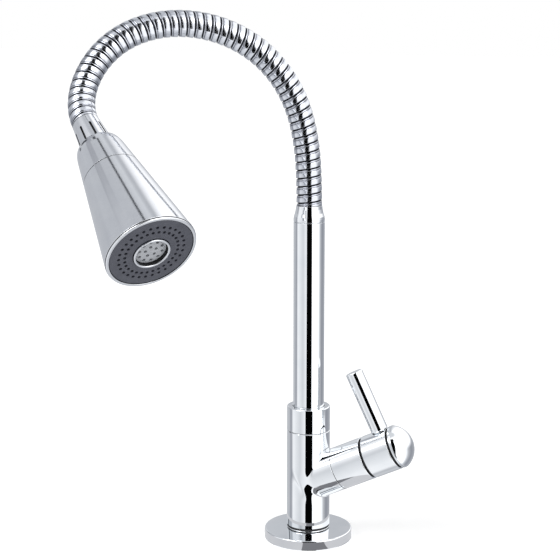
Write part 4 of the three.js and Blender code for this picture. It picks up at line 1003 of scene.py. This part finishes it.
def head_pieces():
    """Neck and cone of the spray head, and the selector end that turns on it."""
    wall, mouth_wall = 1.8, 0.8
    lap_end = NECK_SEAM + 5
    seat = CONE_END - 7.4
    neck_bore, web_bore = 10.2, 7.7
    web_start, web_end = COLLAR_SPIGOT_START + FIT_GAP, 29.3
    shoulder_radius, shoulder_width, shoulder_length = 10.7, 3.9, 7
    shoulder_shares = ((0, 0), (0.33, 0.11), (0.67, 0.36), (0.85, 0.64))
    rounded = []
    for width, length in shoulder_shares:
        rounded.append((shoulder_radius + shoulder_width * width, COLLAR_VISIBLE + shoulder_length * length,
                        1.2 if width else 0.3))

    def inside_wall(distance, walls=1):
        return cone_radius(distance) - walls * wall - FIT_GAP

    neck = turned("head_neck_skin", [
        (neck_bore, COLLAR_VISIBLE), *rounded, (CONE_START_RADIUS, CONE_START, 2),
        (cone_radius(NECK_SEAM), NECK_SEAM, 0.05), (inside_wall(NECK_SEAM), NECK_SEAM),
        (inside_wall(lap_end), lap_end), (inside_wall(lap_end, 2), lap_end), (inside_wall(web_end), web_end),
        (web_bore, web_end), (web_bore, web_start), (neck_bore, web_start)], HEAD)
    start = NECK_SEAM + 0.45
    cone = turned("head_cone", [
        (cone_radius(start) - wall, start), (cone_radius(start), start, 0.05),
        (CONE_END_RADIUS, CONE_END, 0.15), (CONE_END_RADIUS - mouth_wall, CONE_END),
        (cone_radius(seat) - mouth_wall, seat), (cone_radius(seat) - wall, seat)], HEAD)
    for piece, node in ((neck, "head_neck"), (cone, "head_shell")):
        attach(stand_for(piece, node), "head")
    # Painted shade in the seam between the neck and the cone
    paint_shade(neck, HEAD, lambda radius, height: (
        height > NECK_SEAM - 0.01 and radius < cone_radius(height) - 0.2))

    bezel_start, bezel_end = CONE_END + 0.55, FACE_DISTANCE + 0.4
    bezel_radius, bezel_bore = 26.5, 24.8
    spigot_start = bezel_start - 7.4
    spigot_root = cone_radius(bezel_start) - mouth_wall - FIT_GAP
    spigot_end = cone_radius(spigot_start) - mouth_wall - FIT_GAP
    spigot_bore = spigot_end - 1.6
    face_back = FACE_DISTANCE - 2.8
    bezel = turned("bezel", [
        (bezel_bore, bezel_end, 0.15), (bezel_radius, bezel_end, 0.55), (bezel_radius, bezel_start),
        (spigot_root, bezel_start), (spigot_end, spigot_start), (spigot_bore, spigot_start),
        (spigot_bore, face_back - FIT_GAP), (bezel_bore, face_back - FIT_GAP)], HEAD)
    insert_end = FACE_DISTANCE - 1.1
    insert_start = insert_end - 2.2
    rim_radius, rim_bore, rim_end = 10.75, 9.45, FACE_DISTANCE + 1.5
    ledge_bore, ledge_end = 8.35, insert_start - FIT_GAP
    foot_radius, foot_start = 13, spigot_start + 2 * FIT_GAP + 3
    foot_end = foot_start + 1.2
    aerator = turned("aerator_rim", [
        (ledge_bore, foot_start), (foot_radius, foot_start), (foot_radius, foot_end), (rim_radius, foot_end),
        (rim_radius, rim_end, 0.35), (rim_bore, rim_end, 0.35), (rim_bore, ledge_end),
        (ledge_bore, ledge_end)], HEAD)
    tree = drill_tree()
    plate_bore, plate_radius = rim_radius + FIT_GAP, bezel_bore - FIT_GAP
    plate = turned("plate_blank", [
        (plate_bore, face_back), (plate_radius, face_back), (plate_radius, FACE_DISTANCE, 0.2),
        (plate_bore, FACE_DISTANCE + 0.5, 0.15)])
    face = grow("face_plate", plate, tree, {
        "Count A": 30, "Circle Radius A": 19.1 * MM, "Offset Share A": 0.08, "Count B": 29,
        "Circle Radius B": 15.65 * MM, "Offset Share B": 0.39, "Hole Radius": 0.95 * MM,
        "Middle": FACE_DISTANCE * MM, "Depth": 12 * MM, "Finish": spray_face_abs})
    screen_radius = rim_bore - FIT_GAP
    disc = turned("screen_blank", [
        (0, insert_start), (screen_radius, insert_start), (screen_radius, insert_end, 0.15),
        (7.9, insert_end), (7.6, insert_end + 0.25), (0, insert_end + 0.35)])
    screen = grow("aerator_screen", disc, tree, {
        "Count A": 10, "Circle Radius A": 7 * MM, "Offset Share A": 0.0, "Count B": 5,
        "Circle Radius B": 3.3 * MM, "Offset Share B": 0.5, "Hole Radius": 1.0 * MM,
        "Middle": insert_start * MM, "Depth": 12 * MM, "Finish": aerator_acetal})
    for blank in (plate, disc):
        bpy.data.objects.remove(blank)
    settle(face, HEAD)
    settle(screen, HEAD)
    for piece, node in ((bezel, "head_bezel"), (aerator, "aerator_ring"), (face, "spray_face"),
                        (screen, "aerator_insert")):
        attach(stand_for(piece, node), "selector")
    # Painted shade in the seam behind the bezel and inside the aerator's rim
    paint_shade(bezel, HEAD, lambda radius, height: height < bezel_start + 0.1 and radius < bezel_radius - 0.1)
    paint_shade(aerator, HEAD, lambda radius, height: radius < rim_bore + 0.05 and height < FACE_DISTANCE + 0.9)


# Studio

CAMERA_AZIMUTH = math.radians(-71)
CAMERA_PLACE = Vector((0.3012, -0.9317, 0.364))
CAMERA_PITCH = math.radians(11.1)
TENT_CENTRE = Vector((0, 0, 0.18))
TENT_RADIUS = 6
FLOOR_REACH = 6
LENS = 100.29
SENSOR_WIDTH = 36

# Five cloths of the light tent, from bright to dark
WHITE_CLOTH = "#f6f6f7"
PALE_CLOTH = "#d6d7d9"
MIDDLE_CLOTH = "#babcbf"
GREY_CLOTH = "#a2a4a8"
DARK_CLOTH = "#7e8087"

# Where they hang, as azimuths from the camera's in degrees: the table beyond the tap, the walls at eye
# level, the walls above and the ceiling
FLOOR_GLOW = ((-180, MIDDLE_CLOTH), (0, PALE_CLOTH), (140, GREY_CLOTH), (180, MIDDLE_CLOTH))
LOW_WALL = (
    (-180, GREY_CLOTH), (-125, GREY_CLOTH), (-106, DARK_CLOTH), (-90, PALE_CLOTH), (-45, MIDDLE_CLOTH),
    (20, WHITE_CLOTH), (70, WHITE_CLOTH), (90, GREY_CLOTH), (110, DARK_CLOTH), (180, GREY_CLOTH))
HIGH_WALL = (
    (-180, GREY_CLOTH), (-165, MIDDLE_CLOTH), (-104, GREY_CLOTH), (-94, PALE_CLOTH), (-60, PALE_CLOTH),
    (-42, GREY_CLOTH), (20, WHITE_CLOTH), (160, WHITE_CLOTH), (174, GREY_CLOTH), (180, GREY_CLOTH))
CEILING = ((-180, MIDDLE_CLOTH), (180, MIDDLE_CLOTH))


def only_mirrored(piece):
    """Keeps a studio surface out of everything but mirror-like reflections."""
    piece.visible_camera = False
    piece.visible_diffuse = False
    piece.visible_shadow = False
    piece.visible_transmission = False


def shell_patch(name, radius, azimuths, elevations, steps=48):
    """Part of a sphere round the tap, between azimuths from the camera's and elevations, in degrees."""
    corners, faces = [], []
    for j in range(steps + 1):
        elevation = math.radians(elevations[0] + (elevations[1] - elevations[0]) * j / steps)
        for k in range(steps + 1):
            azimuth = CAMERA_AZIMUTH + math.radians(azimuths[0] + (azimuths[1] - azimuths[0]) * k / steps)
            corners.append(TENT_CENTRE + radius * Vector((
                math.cos(elevation) * math.cos(azimuth), math.cos(elevation) * math.sin(azimuth),
                math.sin(elevation))))
    for j in range(steps):
        for k in range(steps):
            a = j * (steps + 1) + k
            faces.append((a, a + 1, a + steps + 2, a + steps + 1))
    piece = drawn(name, corners, [], faces)
    only_mirrored(piece)
    return piece


def glowing(name, color, strength):
    """A glowing material; its colour may be made by a function."""
    material = bpy.data.materials.new(name)
    material.use_nodes = True
    tree = material.node_tree
    tree.nodes.clear()
    shade = color(tree) if callable(color) else linear(color)
    glow = add(tree, "ShaderNodeEmission", {"Color": shade, "Strength": strength})
    add(tree, "ShaderNodeOutputMaterial", {"Surface": glow.outputs[0]})
    return material


def tent_color(tree):
    """Brightness of the light tent round the tap, by azimuth from the camera's and by elevation."""
    place = add(tree, "ShaderNodeNewGeometry").outputs["Position"]
    away = add(tree, "ShaderNodeVectorMath", {0: place, 1: TENT_CENTRE}, operation="SUBTRACT").outputs[0]
    away = add(tree, "ShaderNodeVectorMath", {0: away}, operation="NORMALIZE").outputs[0]
    x, y, z = add(tree, "ShaderNodeSeparateXYZ", {"Vector": away}).outputs
    turn = math_node(tree, "SUBTRACT", math_node(tree, "ARCTAN2", y, x), CAMERA_AZIMUTH)
    turn = add(tree, "ShaderNodeMath", {0: turn, 1: math.pi, 2: -math.pi}, operation="WRAP").outputs[0]
    share = add(tree, "ShaderNodeMapRange", {
        "Value": turn, "From Min": -math.pi, "From Max": math.pi}).outputs["Result"]
    height = math_node(tree, "ARCSINE", z)

    def around(stops):
        return ramp(tree, share, *(((azimuth + 180) / 360, code) for azimuth, code in stops))

    def over(below, above, first, last):
        """Passes from one colour to the next between two elevations."""
        weight = add(tree, "ShaderNodeMapRange", {
            "Value": height, "From Min": math.radians(first), "From Max": math.radians(last)},
            interpolation_type="SMOOTHSTEP").outputs["Result"]
        mix = add(tree, "ShaderNodeMix", data_type="RGBA")
        for socket, value in (("Factor_Float", weight), ("A_Color", below), ("B_Color", above)):
            target = next(item for item in mix.inputs if item.identifier == socket)
            tree.links.new(value, target)
        return next(item for item in mix.outputs if item.identifier == "Result_Color")

    low = around(LOW_WALL)
    color = over(around(FLOOR_GLOW), low, -62, -45)
    color = over(color, around(HIGH_WALL), -2, 16)
    return over(color, around(CEILING), 68, 80)


def seen_directly(tree):
    """1 where a ray from the camera, a mirror or a clear piece looks, else 0."""
    path = add(tree, "ShaderNodeLightPath").outputs
    seen = math_node(tree, "ADD", path["Is Camera Ray"], path["Is Glossy Ray"])
    return math_node(tree, "ADD", seen, path["Is Transmission Ray"])


def white_room():
    """The world: white where it is seen, dimmer as a light."""
    world = bpy.data.worlds.new("white_room")
    bpy.context.scene.world = world
    world.use_nodes = True
    tree = world.node_tree
    tree.nodes.clear()
    strength = spread(tree, seen_directly(tree), 0.62, 1.0)
    shade = add(tree, "ShaderNodeBackground", {"Color": linear("#ffffff"), "Strength": strength})
    add(tree, "ShaderNodeOutputWorld", {"Surface": shade.outputs[0]})


def white_floor():
    """A matt floor that glows more towards its far end, so that it ends in white."""
    material = bpy.data.materials.new("white_floor")
    material.use_nodes = True
    tree = material.node_tree
    tree.nodes.clear()
    matt = add(tree, "ShaderNodeBsdfDiffuse", {"Color": linear("#f4f4f4")})
    spot = add(tree, "ShaderNodeNewGeometry").outputs["Position"]
    away = add(tree, "ShaderNodeVectorMath", {0: spot}, operation="LENGTH").outputs["Value"]
    lift = add(tree, "ShaderNodeMapRange", {
        "Value": away, "From Min": 0.08, "From Max": 0.8, "To Min": 0.28, "To Max": 0.52}).outputs["Result"]
    glow = add(tree, "ShaderNodeEmission", {
        "Color": linear("#ffffff"), "Strength": math_node(tree, "MULTIPLY", seen_directly(tree), lift)})
    both = add(tree, "ShaderNodeAddShader", {0: matt.outputs[0], 1: glow.outputs[0]})
    add(tree, "ShaderNodeOutputMaterial", {"Surface": both.outputs[0]})
    corners = [(x * FLOOR_REACH, y * FLOOR_REACH, 0) for x, y in ((-1, -1), (1, -1), (1, 1), (-1, 1))]
    floor = drawn("floor", corners, [], [(0, 1, 2, 3)])
    floor.data.materials.append(material)
    floor.visible_glossy = False


def light_tent():
    """What only the chrome sees: cloths all round, a black flag at the camera, a seam and a rib."""
    tent = shell_patch("light_tent", TENT_RADIUS, (-180, 180), (-90, 90), 96)
    tent.data.materials.append(glowing("tent_cloth", tent_color, 1.6))
    for name, radius, azimuths, elevations, material, code in (
            ("camera_flag", 5.5, (-17.5, 20.5), (-40, 64), "black_flag", "#040404"),
            ("tent_seam", 5.5, (-136, -127), (8, 84), "seam_grey", "#3e4046"),
            ("tent_rib", 5.45, (-148, -106), (33, 48), "rib_grey", "#b2b4ba")):
        patch = shell_patch(name, radius, azimuths, elevations, 24)
        patch.data.materials.append(glowing(material, code, 1.0))


def table_sheen():
    """Two sectors on the table round the flange, dark in front and light behind, for the chrome only."""
    inside, outside, height, steps = 28.7, 50, 0.3, 48
    for name, first, last, code in (
            ("table_sheen_dark", -10, 27, "#858589"), ("table_sheen", 27, 350, "#dadadd")):
        corners = []
        for k in range(steps + 1):
            turn = CAMERA_AZIMUTH + math.radians(first + (last - first) * k / steps)
            for reach in (inside, outside):
                corners.append((reach * math.cos(turn) * MM, reach * math.sin(turn) * MM, height * MM))
        sheen = drawn(name, corners, [], [(2 * k, 2 * k + 1, 2 * k + 3, 2 * k + 2) for k in range(steps)])
        sheen.data.materials.append(glowing(name, code, 1.0))
        only_mirrored(sheen)


def lamps():
    """A key and a fill lamp, turned to the middle of the tap."""
    target = Vector((0, 0, 0.2))
    for name, place, size, power in (
            ("key_lamp", (-0.9, -1.1, 1.5), 1.2, 16), ("fill_lamp", (1.3, -0.6, 1.1), 1.2, 8)):
        light = bpy.data.lights.new(name, "AREA")
        light.size = size
        light.energy = power
        lamp = bpy.data.objects.new(name, light)
        lamp.location = place
        lamp.rotation_euler = (target - Vector(place)).to_track_quat("-Z", "Y").to_euler()
        bpy.context.scene.collection.objects.link(lamp)


def photo_camera():
    """The photograph's camera."""
    scene = bpy.context.scene
    camera_data = bpy.data.cameras.new("photo_camera")
    camera_data.sensor_width = SENSOR_WIDTH
    camera_data.lens = LENS
    camera = bpy.data.objects.new("photo_camera", camera_data)
    camera.location = CAMERA_PLACE
    look = Vector((-math.cos(CAMERA_AZIMUTH) * math.cos(CAMERA_PITCH),
                   -math.sin(CAMERA_AZIMUTH) * math.cos(CAMERA_PITCH), -math.sin(CAMERA_PITCH)))
    camera.rotation_euler = look.to_track_quat("-Z", "Y").to_euler()
    scene.collection.objects.link(camera)
    scene.camera = camera
    scene.view_settings.view_transform = "Standard"


def studio():
    """A white room and floor, what the chrome mirrors, the lamps and the camera."""
    white_room()
    white_floor()
    light_tent()
    table_sheen()
    lamps()
    photo_camera()


studio()
base_pieces()
lever_pieces()
riser_pieces()
hose_pieces()
slotted_collar(repeat_tree())
head_pieces()

bpy.context.view_layer.update()
